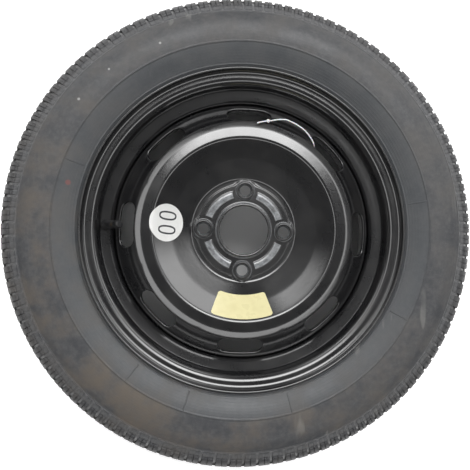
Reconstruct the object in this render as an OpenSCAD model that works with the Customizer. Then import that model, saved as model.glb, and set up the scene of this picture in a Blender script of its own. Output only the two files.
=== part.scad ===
// Spare road wheel: a tyre on a welded steel rim and disc, with its snap-in
// valve, two labels and a looped plastic tag tie.
// Origin at the wheel's centre. +Z is the wheel's axis and points outboard.
// Profiles are lists of [radius, height], all in millimetres.

/* [Rim] */
// Radius of the bead seat
seat_r = 190.3; // [188.8:0.1:191.5]
// Distance between the two flanges
rim_w = 152.4; // [149:0.1:156]
// Height of a flange above the bead seat
flange_h = 17.3; // [16.5:0.1:18]
// Radius of the flange's curl on the tyre's side
flange_curl = 9.5; // [9:0.1:10]
// Thickness of the rim's sheet
rim_t = 2.5; // [2:0.1:3]
// Outer radius of the well
well_r = 173; // [171.5:0.1:174]

/* [Disc] */
// Distance from the centre plane out to the mounting face
offset_et = 27; // [22:0.5:30]
// Thickness of the disc's sheet
disc_t = 3.5; // [3:0.1:4]
// Diameter of the centre bore
bore_d = 65.1; // [60:0.1:66]
// Height of the crown's top above the centre plane
crown_z = 67; // [62:0.5:70]
// Angle of the first wheel bolt, counter-clockwise from +X
clock_a = -2.5; // [-10:0.1:10]

/* [Bolt holes] */
// Number of wheel bolts
bolt_n = 4; // [3:1:5]
// Diameter of the bolt circle
bolt_pcd = 108; // [100:0.1:110]
// Diameter of a bolt hole
bolt_d = 14.6; // [12:0.1:15]
// Diameter of the mouth of a conical seat
seat_d = 18.8; // [17:0.1:20]
// Height of a bolt boss above its pad
boss_h = 3.6; // [2:0.1:4.5]

/* [Vents] */
// Number of vent slots
vent_n = 8; // [4:1:8]
// Length of a vent slot
vent_len = 58; // [40:1:64]
// Width of a vent slot, measured up the disc's slope
vent_w = 25; // [16:0.5:26]
// Radius of a vent slot's corners
vent_r = 11; // [4:0.5:12]

/* [Tyre] */
// Radius of the inflated tyre
tyre_r = 310.75; // [300:0.25:316]
// Width of the tyre at its sidewalls
tyre_w = 190; // [184:1:196]
// Number of notches round each shoulder
notch_n = 118; // [60:1:130]
// Width of a shoulder notch
notch_w = 3.2; // [2:0.1:4]
// Depth of the grooves that run round the tread
groove_d = 7.5; // [4:0.5:8]

/* [Valve] */
// Angle of the valve, counter-clockwise from +X
valve_a = 178; // [170:1:186]
// Length of the valve outboard of the rim
valve_len = 31.5; // [30:0.5:34]
// Radius of the stem's thread
stem_r = 3.87; // [3.8:0.01:3.9]
// Radius of the dust cap
cap_r = 5.3; // [5:0.1:6]
// Length of the dust cap
cap_len = 12; // [10:0.5:12]

/* [Labels] */
// Diameter of the round label
round_d = 51; // [30:1:54]
// Angle of the round label's centre
round_a = 174; // [165:1:185]
// Angle of the curved label's centre
strip_a = 268.3; // [240:1:300]
// Angle that the curved label covers
strip_span = 42.5; // [20:0.5:60]
// Thickness of a label
label_t = 0.25; // [0.1:0.05:0.5]

/* [Hidden] */
$fn = 96;

// Smallest overrun of a cutter past the face that it cuts
over = 1;

// Rim: the sheet's middle line, from the outboard lip to the inboard lip
flange_z = rim_w / 2;
curl_r = flange_curl - rim_t / 2;
curl_c = [seat_r + flange_h - flange_curl, flange_z + flange_curl];
seat_mid_r = seat_r - rim_t / 2 + 0.15;
well_mid_r = well_r - rim_t / 2;
heel_z = flange_z + rim_t / 2;
heel_bend = 7.75;
lip_a = 20;
curl_end_a = -84;
hump_foot = [187.6, 59.5];
hump = [188.7, 56.5];
ledge_out = [186.6, 52.5];
ledge_in = [well_mid_r, 40.2];
slope_in = [well_mid_r, -8];
slope_out = [187, -47];
hump_edge_in = [187, -52.5];

// Disc: the sheet's middle line
bore_r = bore_d / 2;
bore_mid_r = bore_r + disc_t / 2;
bore_lip_z = offset_et + 13.5;
ring_mid_z = offset_et + disc_t / 2;
pad_rise = 2;
pad_mid_z = ring_mid_z + pad_rise;
pad_top_z = pad_mid_z + disc_t / 2;
pad_r = 61.8;
ring_in_r = 63.4;
ring_out_r = 70;
ridge = [120.5, crown_z - 3.6];
crown_in = [131, crown_z - 1.3];
crown_out = [141, crown_z - 4];
flange_r = well_mid_r - rim_t / 2 - disc_t / 2;
disc_bend_z = 38.2;
slope_a = atan2(crown_out[1] - disc_bend_z, flange_r - crown_out[0]);
vent_mid_r = 152.2;
vent_mid_z = disc_bend_z + (flange_r - vent_mid_r) * tan(slope_a);
vent_cut_h = 24;

// Bolt pads, bosses and the lands between the bolts
bolt_r = bolt_pcd / 2;
bolt_pad_r = 16.5;
bolt_pad_h = 0.3;
pocket_r = 14;
boss_foot_r = 13.2;
boss_top_r = 11.2;
seat_depth = 3.6;
relief_foot_r = 11;
relief_top_r = 8.8;
relief_h = 1.8;
land_in_r = 44.5;
land_out_r = 55.5;
land_h = 1.5;
land_edge = 0.8;
land_gap_a = 17;

// Weld beads between the disc's flange and the rim
weld_n = 8;
weld_a = 15;
weld_leg = 4.5;

// Tyre
side_z = tyre_w / 2;
side_r = 250;
bead_toe_z = 60;
bead_lift = 0.05;
low_wall_arc = 84;
high_wall_arc = 58;
shoulder_c = [281.5, 55];
shoulder_arc = 25.5;
crown_arc = 372;
tread_edge_a = 27;
ring_h = 0.6;
ring_root = 1.5;
side_rings = [[211.5, 1.4], [239, 1.2], [281.5, 1.2]];
groove_w = 8;
groove_over = 5;
groove_z = [-43, -15, 15, 43];
notch_foot = [302.5, 58];
notch_tilt = 33;
notch_len = 34;
notch_cut = 20;
pitch_swing = 1.83;
pitch_waves = 5;
pitch_phase = 12;

// Valve, measured along its own axis from the middle of the rim's sheet
ledge_a = atan2(ledge_out[1] - ledge_in[1], ledge_out[0] - ledge_in[0]);
valve_r = 180.8;
valve_z = ledge_in[1] + (valve_r - ledge_in[0]) * tan(ledge_a);
valve_hole_r = 5.65;
tip_z = valve_len;
tip_edge = 0.6;
body_foot_z = -9;
stem_foot_z = body_foot_z + 2;
bulb_r = 9.2;
bulb_h = 3;
collar_r = 7.5;
neck_r = 5.1;
core_r = 2.65;
core_bore_r = 2;
cone_low_z = tip_z - 9.5;
cone_high_z = tip_z - 6.3;
plug_low_z = tip_z - 5.5;
plug_high_z = tip_z - 1.5;
plug_bore_r = 1;
wing_w = 1.6;
wing_h = 1.5;
barrel_r = 1.75;
barrel_low_z = tip_z - 15;
barrel_floor_z = barrel_low_z + 2;
barrel_bore_r = 1.35;
neck_bore_r = 0.68;
pin_r = 0.62;
pin_ring_r = 1.2;
pin_ring_z = plug_low_z - 1.6;
pin_ring_h = 0.8;
pin_head_r = 1.4;
pin_head_h = 0.6;
seal_gap = 0.05;
spring_r = 0.98;
wire_r = 0.18;
spring_turns = 7;
spring_steps = 12;
spring_sides = 8;
cap_gap = 0.3;
cap_bore_r = stem_r + 0.08;
cap_wall_top = 1.6;
cap_seal_h = 1.2;

// Labels and the tag tie
strip_r = [86, 118.5];
strip_z = [30, 70];
round_mid_r = 103.5;
label_fit_z = 20;
tie_r = 1.1;
tie_head_r = 2.6;
tie_head = [31, 143, 64.5];
tie_sides = 8;
tie_hub = [62, 128, 50];
// The tie's middle line: out of the top vent, through its head to the free
// tail, and back from the head, over the slope, down the next vent and behind
tie_points = [
    [15.5, 139, 68], [20, 140.5, 67], [25.5, 142, 65.5], [31, 143, 64.5], [36, 143.5, 64.5],
    [42, 144.5, 65], [48, 145, 65.5], [55, 144.5, 66], [62, 142, 65.5], [68.5, 139, 65], [74.5, 135.5, 64],
    [80, 131.5, 63], [84.5, 127, 62], [88, 122.5, 61], [91, 118, 59.5], [93.2, 114, 56.5], [94, 111, 52],
    [93.5, 108.5, 47], [91, 107, 42], [86.5, 107.5, 38], [80, 110, 35], [72, 114.5, 33.5], [64, 119.5, 33.5],
    [56, 125, 34.5], [48.5, 130.5, 37], [42, 136, 41], [36.5, 141, 46], [33, 144.5, 51.5],
    [31.2, 145.6, 57], [31, 144.6, 62.4]
];

function turned(r, a) = [r * cos(a), r * sin(a)];
function arc(c, r, a0, a1, n) = [for (i = [0:n]) c + turned(r, a0 + (a1 - a0) * i / n)];
function unit(v) = v / norm(v);
function flat(p) = [p[0], p[1]];
function reversed(v) = [for (i = [len(v) - 1:-1:0]) v[i]];

// Points of a bend of radius r at corner q, between p and s
function bend(p, q, s, r, n) =
    let (
        u = unit(p - q),
        v = unit(s - q),
        half = acos(u * v) / 2,
        turn = 180 - 2 * half,
        c = q + unit(u + v) * r / sin(half),
        a = q + u * r / tan(half) - c,
        b = q + v * r / tan(half) - c
    )
    [for (i = [0:n]) c + (a * sin(turn * (1 - i / n)) + b * sin(turn * i / n)) / sin(turn)];

// A line through corners [radius, height, bend radius]
function bent(path, n = 4) = [
    for (i = [0:len(path) - 1])
        each (i == 0 || i == len(path) - 1 || path[i][2] == 0)
            ? [flat(path[i])]
            : bend(flat(path[i - 1]), flat(path[i]), flat(path[i + 1]), path[i][2], n)
];

function side(p, q) = let (d = unit(q - p)) [-d[1], d[0]];
function mitre(path, i) =
    let (
        a = i == 0 ? side(path[0], path[1]) : side(path[i - 1], path[i]),
        b = i == len(path) - 1 ? a : side(path[i], path[i + 1])
    )
    (a + b) / (1 + a * b);

// Closed outline between two lines that lie beside a path, at distances d1 and d2
function beside(path, d1, d2) = concat(
    [for (i = [0:len(path) - 1]) path[i] + mitre(path, i) * d1],
    reversed([for (i = [0:len(path) - 1]) path[i] + mitre(path, i) * d2])
);

// The flange's curl, from its lip round to the straight of the flange
curl = arc(curl_c, curl_r, lip_a, curl_end_a, 10);
function inboard(points) = [for (p = reversed(points)) [p[0], -p[1]]];

rim_bends = [
    [curl_c[0], heel_z, 0],
    [seat_mid_r, heel_z, heel_bend],
    [hump_foot[0], hump_foot[1], 6],
    [hump[0], hump[1], 4],
    [ledge_out[0], ledge_out[1], 5],
    [ledge_in[0], ledge_in[1], 8],
    [slope_in[0], slope_in[1], 14],
    [slope_out[0], slope_out[1], 8],
    [hump_edge_in[0], hump_edge_in[1], 4],
    [hump[0], -hump[1], 4],
    [hump_foot[0], -hump_foot[1], 6],
    [seat_mid_r, -heel_z, heel_bend],
    [curl_c[0], -heel_z, 0]
];
rim_line = concat(curl, bent(rim_bends), inboard(curl));

disc_line = bent([
    [bore_mid_r, bore_lip_z, 0],
    [bore_mid_r, pad_mid_z, 5],
    [pad_r, pad_mid_z, 2.3],
    [ring_in_r, ring_mid_z, 2.3],
    [ring_out_r, ring_mid_z, 8],
    [ridge[0], ridge[1], 5],
    [crown_in[0], crown_in[1], 12],
    [crown_out[0], crown_out[1], 12],
    [flange_r, disc_bend_z, 9],
    [flange_r, 0, 0]
]);

// Half of the tyre's outside, from the bead's toe to the middle of the tread
bead_face = [
    [188.95 + bead_lift, bead_toe_z],
    [190.0 + bead_lift, 69.5],
    [191.8, 73.8],
    [194.6, 75.8],
    [198.1, flange_z]
];
flange_seat = arc(curl_c, flange_curl, -82, -42, 5);
tyre_outside = concat(
    bead_face,
    flange_seat,
    [[208.4, 83.2]],
    arc([side_r, side_z - low_wall_arc], low_wall_arc, 118, 90, 6),
    arc([side_r, side_z - high_wall_arc], high_wall_arc, 84, 42, 7),
    arc(shoulder_c, shoulder_arc, 62, tread_edge_a, 4),
    [for (z = [58:-11.6:0]) [tyre_r - z * z / (2 * crown_arc), z]]
);
// Half of its inside, from the middle of the tread to the bead's toe
tyre_inside = [
    [299.3, 0], [299, 20], [297.6, 40], [293.5, 56], [286, 68], [277, 77.5], [266, 84.5], [250, 88],
    [235, 86.3], [222, 80.5], [211, 72.5], [202, 64], [195, 59.5]
];
tyre_outline = concat(
    tyre_outside,
    [for (p = reversed(tyre_outside)) if (p[1] > 0) [p[0], -p[1]]],
    [for (p = reversed(tyre_inside)) [p[0], -p[1]]],
    [for (p = tyre_inside) if (p[1] > 0) p]
);

// Angle of a shoulder notch. The pitch swings a little, which quietens a tyre.
function notch_a(i) =
    let (t = 360 * i / notch_n)
    t - pitch_swing * sin(pitch_waves * (t - pitch_phase));

// Height of the sidewall's surface at a radius
function wall_z(r) =
    let (a = r < side_r ? low_wall_arc : high_wall_arc)
    side_z - a + sqrt(a * a - (r - side_r) * (r - side_r));

// Ring of points round a route at point i. The hub is a point off the route,
// near the middle of its turns, which keeps the rings from twisting.
function route_dir(route, i) =
    unit(route[min(i + 1, len(route) - 1)] - route[max(i - 1, 0)]);
function ring_points(route, hub, i, r, n) =
    let (
        d = route_dir(route, i),
        u = unit(cross(d, route[i] - hub)),
        v = cross(d, u)
    )
    [for (k = [0:n - 1]) route[i] + r * (cos(360 * k / n) * u + sin(360 * k / n) * v)];

module revolved(points) {
    rotate_extrude($fn = 180) polygon(points);
}

module sector(r, z, a0, a1) {
    rotate([0, 0, a0])
        rotate_extrude(angle = a1 - a0, $fn = 180)
            translate([r[0], z[0]]) square([r[1] - r[0], z[1] - z[0]]);
}

// Round bar along a route
module swept(route, hub, r, n) {
    count = len(route);
    points = [for (i = [0:count - 1]) each ring_points(route, hub, i, r, n)];
    sides = [
        for (i = [0:count - 2], k = [0:n - 1])
            [i * n + k, (i + 1) * n + k, (i + 1) * n + (k + 1) % n, i * n + (k + 1) % n]
    ];
    first = [for (k = [0:n - 1]) k];
    last = [for (k = [n - 1:-1:0]) (count - 1) * n + k];
    polyhedron(points, concat([first], sides, [last]), convexity = 8);
}

module at_bolts() {
    for (i = [0:bolt_n - 1])
        rotate([0, 0, clock_a + i * 360 / bolt_n]) children();
}

// Places children on the valve's axis, which leaves the ledge squarely
module on_valve_axis() {
    rotate([0, 0, valve_a])
        translate([valve_r, 0, valve_z])
            rotate([0, -ledge_a, 0]) children();
}

module shoulder_notches() {
    for (i = [0:notch_n - 1])
        rotate([0, 0, notch_a(i)])
            translate([notch_foot[0], -notch_w / 2, notch_foot[1]])
                rotate([0, -notch_tilt, 0]) cube([notch_cut, notch_w, notch_len]);
}

module tyre() {
    color("#46474a")
    difference() {
        union() {
            revolved(tyre_outline);
            for (ring = side_rings, s = [-1, 1])
                rotate_extrude($fn = 180)
                    translate([ring[0] - ring[1] / 2, s * wall_z(ring[0]) - (s > 0 ? ring_root : ring_h)])
                        square([ring[1], ring_root + ring_h]);
        }
        for (z = groove_z)
            rotate_extrude($fn = 180)
                translate([tyre_r - groove_d - z * z / (2 * crown_arc), z - groove_w / 2])
                    square([groove_d + groove_over, groove_w]);
        shoulder_notches();
        mirror([0, 0, 1]) shoulder_notches();
    }
}

module rim() {
    color("#17181a")
    difference() {
        revolved(beside(rim_line, -rim_t / 2, rim_t / 2));
        on_valve_axis() cylinder(h = 4 * rim_t, r = valve_hole_r, center = true);
    }
}

module vent_cutter() {
    straight = vent_len - 2 * vent_r;
    flat_w = vent_w - 2 * vent_r;
    translate([vent_mid_r, 0, vent_mid_z]) rotate([0, slope_a, 0]) {
        cube([vent_w, straight, vent_cut_h], center = true);
        cube([flat_w, vent_len, vent_cut_h], center = true);
        for (x = [-1, 1], y = [-1, 1])
            translate([x * flat_w / 2, y * straight / 2, 0])
                cylinder(h = vent_cut_h, r = vent_r, center = true);
    }
}

module land(rise, edge) {
    span = 360 / bolt_n - 2 * land_gap_a;
    rotate([0, 0, land_gap_a])
        rotate_extrude(angle = span, $fn = 180)
            polygon([
                [land_in_r + edge, -over],
                [land_in_r + edge, 0],
                [land_in_r + edge + land_edge, rise],
                [land_out_r - edge - land_edge, rise],
                [land_out_r - edge, 0],
                [land_out_r - edge, -over]
            ]);
}

// Raised pad and boss round a wheel bolt
module bolt_boss() {
    translate([bolt_r, 0, 0])
        rotate_extrude()
            polygon([
                [0, pad_top_z - disc_t + bolt_pad_h],
                [bolt_pad_r, pad_top_z - disc_t + bolt_pad_h],
                [bolt_pad_r, pad_top_z + bolt_pad_h],
                [boss_foot_r, pad_top_z + bolt_pad_h],
                [boss_top_r, pad_top_z + boss_h],
                [0, pad_top_z + boss_h]
            ]);
}

// Pocket behind a boss, the bolt's hole and its conical seat
module bolt_hole() {
    pad_low_z = offset_et + pad_rise + bolt_pad_h;
    seat_slope = (seat_d - bolt_d) / 2 / seat_depth;
    translate([bolt_r, 0, 0])
        rotate_extrude()
            polygon([
                [0, offset_et - over],
                [pocket_r, offset_et - over],
                [pocket_r, pad_low_z],
                [relief_foot_r, pad_low_z],
                [relief_top_r, pad_low_z + relief_h],
                [bolt_d / 2, pad_low_z + relief_h],
                [bolt_d / 2, pad_top_z + boss_h - seat_depth],
                [seat_d / 2 + over * seat_slope, pad_top_z + boss_h + over],
                [0, pad_top_z + boss_h + over]
            ]);
}

module disc() {
    color("#1b1c1e")
    difference() {
        union() {
            revolved(beside(disc_line, -disc_t / 2, disc_t / 2));
            at_bolts() {
                bolt_boss();
                translate([0, 0, pad_top_z]) land(land_h, 0);
            }
        }
        at_bolts() {
            bolt_hole();
            translate([0, 0, offset_et + pad_rise]) land(land_h, 1);
        }
        for (i = [0:vent_n - 1])
            rotate([0, 0, clock_a + i * 360 / vent_n]) vent_cutter();
    }
}

module weld_beads() {
    well_in_r = flange_r + disc_t / 2;
    color("#2b2b2c")
    for (i = [0:weld_n - 1])
        rotate([0, 0, clock_a + (i + 0.5) * 360 / weld_n - weld_a / 2])
            rotate_extrude(angle = weld_a, $fn = 180)
                polygon([
                    [well_in_r, 0],
                    [well_in_r - disc_t, 0],
                    [well_in_r - 0.75 * disc_t, -0.55 * weld_leg],
                    [well_in_r - 0.3 * disc_t, -0.9 * weld_leg],
                    [well_in_r, -weld_leg]
                ]);
}

module valve_body() {
    hole_z = rim_t / 2;
    top_z = tip_z - cap_len - cap_gap + 0.8;
    color("#222325")
    on_valve_axis()
        revolved([
            [stem_r, stem_foot_z],
            [neck_r + 0.3, body_foot_z],
            [neck_r + 1.5, body_foot_z + 1],
            [bulb_r, -hole_z - bulb_h],
            [bulb_r, -hole_z],
            [valve_hole_r, -hole_z],
            [valve_hole_r, hole_z],
            [collar_r, hole_z],
            [collar_r, hole_z + 1.6],
            [neck_r + 1.3, hole_z + 4.5],
            [neck_r + 0.4, hole_z + 9],
            [neck_r, top_z],
            [stem_r, top_z]
        ]);
}

module valve_stem() {
    color("#b08d4f")
    on_valve_axis()
        revolved([
            [core_bore_r, stem_foot_z],
            [stem_r, stem_foot_z],
            [stem_r, tip_z - tip_edge],
            [stem_r - tip_edge, tip_z],
            [core_r, tip_z],
            [core_r, cone_high_z],
            [core_bore_r, cone_low_z]
        ]);
}

module core_plug() {
    plug_h = plug_high_z - plug_low_z;
    blade_w = 2.8;
    color("#c9b06a")
    on_valve_axis()
        difference() {
            translate([0, 0, plug_low_z]) cylinder(h = plug_h, r = core_r);
            translate([0, 0, plug_low_z - over]) cylinder(h = plug_h + 2 * over, r = plug_bore_r);
            for (s = [-1, 1])
                translate([s * (blade_w + wing_w) / 2, 0, plug_high_z])
                    cube([wing_w, 2 * core_r + over, 2 * wing_h], center = true);
        }
}

module core_barrel() {
    color("#c9b06a")
    on_valve_axis()
        difference() {
            translate([0, 0, barrel_low_z]) cylinder(h = plug_low_z - barrel_low_z, r = barrel_r);
            translate([0, 0, barrel_floor_z])
                cylinder(h = plug_low_z - barrel_floor_z + over, r = barrel_bore_r);
            translate([0, 0, barrel_low_z - over])
                cylinder(h = barrel_floor_z - barrel_low_z + 2 * over, r = neck_bore_r);
        }
}

module barrel_seal() {
    high_z = cone_low_z + 2.5;
    high_r = core_bore_r + (core_r - core_bore_r) * (high_z - cone_low_z) / (cone_high_z - cone_low_z);
    color("#e9e6dc")
    on_valve_axis()
        revolved([
            [barrel_r, cone_low_z],
            [core_bore_r, cone_low_z],
            [high_r, high_z],
            [barrel_r, high_z]
        ]);
}

module core_pin() {
    low_z = barrel_low_z - 2 - pin_head_h;
    color("#d8c07a")
    on_valve_axis() {
        translate([0, 0, low_z]) cylinder(h = tip_z - tip_edge - low_z, r = pin_r);
        translate([0, 0, pin_ring_z]) cylinder(h = pin_ring_h, r = pin_ring_r);
        translate([0, 0, low_z]) cylinder(h = pin_head_h, r = pin_head_r);
    }
}

module pin_seal() {
    low_z = barrel_low_z - 2;
    color("#303134")
    on_valve_axis()
        revolved([
            [pin_r, low_z],
            [pin_head_r, low_z],
            [pin_head_r + 0.2, barrel_low_z - seal_gap],
            [pin_r, barrel_low_z - seal_gap]
        ]);
}

module pin_spring() {
    low_z = barrel_floor_z + wire_r;
    high_z = pin_ring_z - wire_r;
    steps = spring_turns * spring_steps;
    route = [
        for (i = [0:steps])
            let (a = 360 * spring_turns * i / steps)
            [spring_r * cos(a), spring_r * sin(a), low_z + (high_z - low_z) * i / steps]
    ];
    color("#9a9c9f")
    on_valve_axis() swept(route, [0, 0, (low_z + high_z) / 2], wire_r, spring_sides);
}

module cap_seal() {
    color("#2c2d30")
    on_valve_axis() translate([0, 0, tip_z + seal_gap]) cylinder(h = cap_seal_h, r = stem_r);
}

module valve_cap() {
    foot_z = tip_z + seal_gap + cap_seal_h + cap_wall_top - cap_len;
    edge = 1;
    color("#1d1e20")
    on_valve_axis()
        difference() {
            union() {
                translate([0, 0, foot_z]) cylinder(h = cap_len - edge, r = cap_r);
                translate([0, 0, foot_z + cap_len - edge])
                    cylinder(h = edge, r1 = cap_r, r2 = cap_r - edge);
            }
            translate([0, 0, foot_z - over])
                cylinder(h = cap_len - cap_wall_top + over, r = cap_bore_r);
        }
}

// Thin skin that follows the disc's outboard face
module disc_skin() {
    revolved(beside(disc_line, disc_t / 2, disc_t / 2 + label_t));
}

module round_label() {
    dish_a = atan2(ridge[1] - ring_mid_z, ridge[0] - ring_out_r);
    mid_z = ring_mid_z + (round_mid_r - ring_out_r) * tan(dish_a);
    color("#f1f1ef")
    intersection() {
        disc_skin();
        rotate([0, 0, round_a])
            translate([round_mid_r, 0, mid_z])
                rotate([0, -dish_a, 0]) cylinder(h = label_fit_z, r = round_d / 2, center = true);
    }
}

module curved_label() {
    color("#e9e2b8")
    intersection() {
        disc_skin();
        sector(strip_r, strip_z, strip_a - strip_span / 2, strip_a + strip_span / 2);
    }
}

module tag_tie() {
    color("#f4f5f6") {
        swept(tie_points, tie_hub, tie_r, tie_sides);
        translate(tie_head) sphere(r = tie_head_r, $fn = 32);
    }
}

tyre();
rim();
disc();
weld_beads();
valve_body();
valve_stem();
core_plug();
core_barrel();
barrel_seal();
core_pin();
pin_seal();
pin_spring();
cap_seal();
valve_cap();
round_label();
curved_label();
tag_tie();
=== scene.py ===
import math
from functools import partial

import bmesh
import bpy
import numpy as np
from bpy.props import FloatProperty, FloatVectorProperty, IntProperty, PointerProperty
from mathutils import Euler, Matrix, Vector


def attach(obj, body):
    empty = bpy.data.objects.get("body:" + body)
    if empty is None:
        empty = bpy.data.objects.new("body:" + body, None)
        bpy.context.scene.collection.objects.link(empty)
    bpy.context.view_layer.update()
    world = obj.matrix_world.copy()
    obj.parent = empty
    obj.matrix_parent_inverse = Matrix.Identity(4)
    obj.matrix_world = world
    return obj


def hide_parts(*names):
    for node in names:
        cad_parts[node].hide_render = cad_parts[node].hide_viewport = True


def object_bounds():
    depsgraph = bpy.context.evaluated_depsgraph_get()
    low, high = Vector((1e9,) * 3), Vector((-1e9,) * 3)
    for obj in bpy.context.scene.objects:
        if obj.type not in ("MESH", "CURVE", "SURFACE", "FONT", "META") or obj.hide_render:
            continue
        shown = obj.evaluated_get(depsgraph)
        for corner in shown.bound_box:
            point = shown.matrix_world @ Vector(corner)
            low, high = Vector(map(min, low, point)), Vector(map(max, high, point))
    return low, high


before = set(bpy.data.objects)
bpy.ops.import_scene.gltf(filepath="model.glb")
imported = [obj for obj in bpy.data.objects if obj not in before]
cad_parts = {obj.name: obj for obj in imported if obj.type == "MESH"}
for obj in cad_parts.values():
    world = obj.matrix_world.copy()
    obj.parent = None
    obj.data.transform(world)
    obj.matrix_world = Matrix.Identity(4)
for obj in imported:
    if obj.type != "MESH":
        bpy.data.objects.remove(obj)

bl_info = {
    "name": "Spare wheel",
    "version": (1, 0, 0),
    "blender": (4, 5, 0),
    "location": "View3D > Sidebar > Wheel",
    "description": "Makes a spare wheel: tyre, pressed steel rim and disc, valve, labels and a tag tie",
    "category": "Object",
}

CAD_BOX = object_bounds()
MM = 0.001
COLUMNS = 256


def linear(colour):
    """An sRGB hex colour as linear red, green and blue."""
    parts = [int(colour[i:i + 2], 16) / 255 for i in (1, 3, 5)]
    return [c / 12.92 if c <= 0.04045 else ((c + 0.055) / 1.055) ** 2.4 for c in parts]


# Lines and outlines, in millimetres

def bent_line(corners, turn=6.0, step=6.0):
    """Points and left-hand normals of a line through (x, y, bend radius) corners."""
    points, normals = [], []

    def put(p, n):
        if points and np.hypot(*(p - points[-1])) < 1e-4:
            return
        points.append(p)
        normals.append(n)

    def straight(p, q):
        d = (q - p) / np.hypot(*(q - p))
        n = np.array([-d[1], d[0]])
        count = max(1, math.ceil(np.hypot(*(q - p)) / step))
        for i in range(count + 1):
            put(p + (q - p) * i / count, n)

    at = np.array(corners[0][:2], float)
    for i in range(1, len(corners) - 1):
        q = np.array(corners[i][:2], float)
        u = np.array(corners[i - 1][:2], float) - q
        v = np.array(corners[i + 1][:2], float) - q
        u, v = u / np.hypot(*u), v / np.hypot(*v)
        half = math.acos(max(-1, min(1, float(u @ v)))) / 2
        r = corners[i][2]
        a, b = q + u * r / math.tan(half), q + v * r / math.tan(half)
        straight(at, a)
        w = (u + v) / np.hypot(*(u + v))
        c = q + w * r / math.sin(half)
        left = 1 if float(np.cross(-u, v)) < 0 else -1
        count = max(2, math.ceil(math.degrees(math.pi - 2 * half) / turn))
        a0 = math.atan2(*(a - c)[::-1])
        a1 = math.atan2(*(b - c)[::-1])
        sweep = (a1 - a0 + math.pi) % (2 * math.pi) - math.pi
        for k in range(count + 1):
            t = a0 + sweep * k / count
            e = np.array([math.cos(t), math.sin(t)])
            put(c + r * e, left * e)
        at = b
    straight(at, np.array(corners[-1][:2], float))
    return np.array(points), np.array(normals)


def arc_line(centre, r, a0, a1, count):
    """Points of an arc and the normals that point away from its centre."""
    t = np.radians(np.linspace(a0, a1, count + 1))
    e = np.stack([np.cos(t), np.sin(t)], 1)
    return np.array(centre) + r * e, e


def sheet_outline(points, normals, thick, ends=(1.0, 1.0)):
    """Closed outline of a sheet of that thickness on both sides of its middle line, with round edges."""
    h = thick / 2
    first = points[0] - points[1]
    last = points[-1] - points[-2]
    first, last = first / np.hypot(*first), last / np.hypot(*last)
    turn = np.radians(np.linspace(0, 180, 9))[1:-1, None]
    tail = points[-1] + normals[-1] * h * np.cos(turn) + last * ends[1] * np.sin(turn)
    head = points[0] - normals[0] * h * np.cos(turn) + first * ends[0] * np.sin(turn)
    return np.concatenate([points + normals * h, tail, (points - normals * h)[::-1], head])


def smooth_step(x, a, b):
    """Rises smoothly from 0 at a to 1 at b."""
    t = np.clip((x - a) / (b - a), 0, 1)
    return t * t * (3 - 2 * t)


# Meshes. Grids are arrays of points in millimetres, shaped rows x columns x 3.

def grid_faces(rows, columns, start):
    """The faces of a grid whose first point has the number start."""
    i, j = np.meshgrid(np.arange(rows - 1), np.arange(columns - 1), indexing="ij")
    a = start + i * columns + j
    return np.stack([a, a + 1, a + columns + 1, a + columns], -1).reshape(-1, 4)


def piece_from_grids(name, grids, material, place=None, sharp=40.0):
    """One mesh from grids that meet edge to edge. Its doubles are merged and its faces point outwards."""
    points, faces, start = [], [], 0
    for grid in grids:
        rows, columns = grid.shape[:2]
        points.append(grid.reshape(-1, 3))
        faces.append(grid_faces(rows, columns, start))
        start += rows * columns
    points = np.concatenate(points) * MM
    if place is not None:
        m = np.array(place)
        points = points @ m[:3, :3].T + m[:3, 3]
    mesh = bpy.data.meshes.new(name)
    mesh.from_pydata(points.tolist(), [], np.concatenate(faces).tolist())
    return finished(name, mesh, material, sharp)


def finished(name, mesh, material, sharp=40.0):
    """Merges doubles, points the faces outwards, shades them smooth and links an object for the mesh."""
    edit = bmesh.new()
    edit.from_mesh(mesh)
    bmesh.ops.remove_doubles(edit, verts=edit.verts, dist=2e-7)
    bmesh.ops.dissolve_degenerate(edit, dist=1e-8, edges=edit.edges)
    bmesh.ops.recalc_face_normals(edit, faces=edit.faces)
    edit.to_mesh(mesh)
    edit.free()
    mesh.polygons.foreach_set("use_smooth", [True] * len(mesh.polygons))
    mesh.set_sharp_from_angle(angle=math.radians(sharp))
    mesh.materials.clear()
    mesh.materials.append(material)
    piece = bpy.data.objects.new(name, mesh)
    bpy.context.scene.collection.objects.link(piece)
    return piece


def turned(outline, columns, first=0.0):
    """A closed (radius, height) outline turned about Z, as one grid."""
    t = np.radians(first) + np.linspace(0, 2 * math.pi, columns + 1)
    loop = np.concatenate([outline, outline[:1]])
    r, z = loop[:, :1], loop[:, 1:]
    return np.stack([r * np.cos(t), r * np.sin(t), z + 0 * t], -1)


def keep(piece, body, slot, *nodes):
    """The piece rides on a body and stands for the CAD nodes, which are hidden. The slot is not used."""
    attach(piece, body)
    if nodes:
        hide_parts(*nodes)
    return piece


# Node trees

MATH, RANGE, MIX, NOISE = "ShaderNodeMath", "ShaderNodeMapRange", "ShaderNodeMix", "ShaderNodeTexNoise"
VECTOR, SPLIT, JOIN = "ShaderNodeVectorMath", "ShaderNodeSeparateXYZ", "ShaderNodeCombineXYZ"
TIMES, PLUS, MINUS = {"operation": "MULTIPLY"}, {"operation": "ADD"}, {"operation": "SUBTRACT"}
SOFT = {"interpolation_type": "SMOOTHSTEP"}
COLOUR = {"data_type": "RGBA"}


def fill(node, inputs):
    """Fills inputs, given in order, by name or by number, each with a value, a hex colour or an output."""
    for key, value in inputs.items() if isinstance(inputs, dict) else enumerate(inputs):
        socket = node.inputs[key]
        if isinstance(value, bpy.types.NodeSocket):
            node.id_data.links.new(value, socket)
        else:
            socket.default_value = linear(value) + [1] if isinstance(value, str) else value


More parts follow.
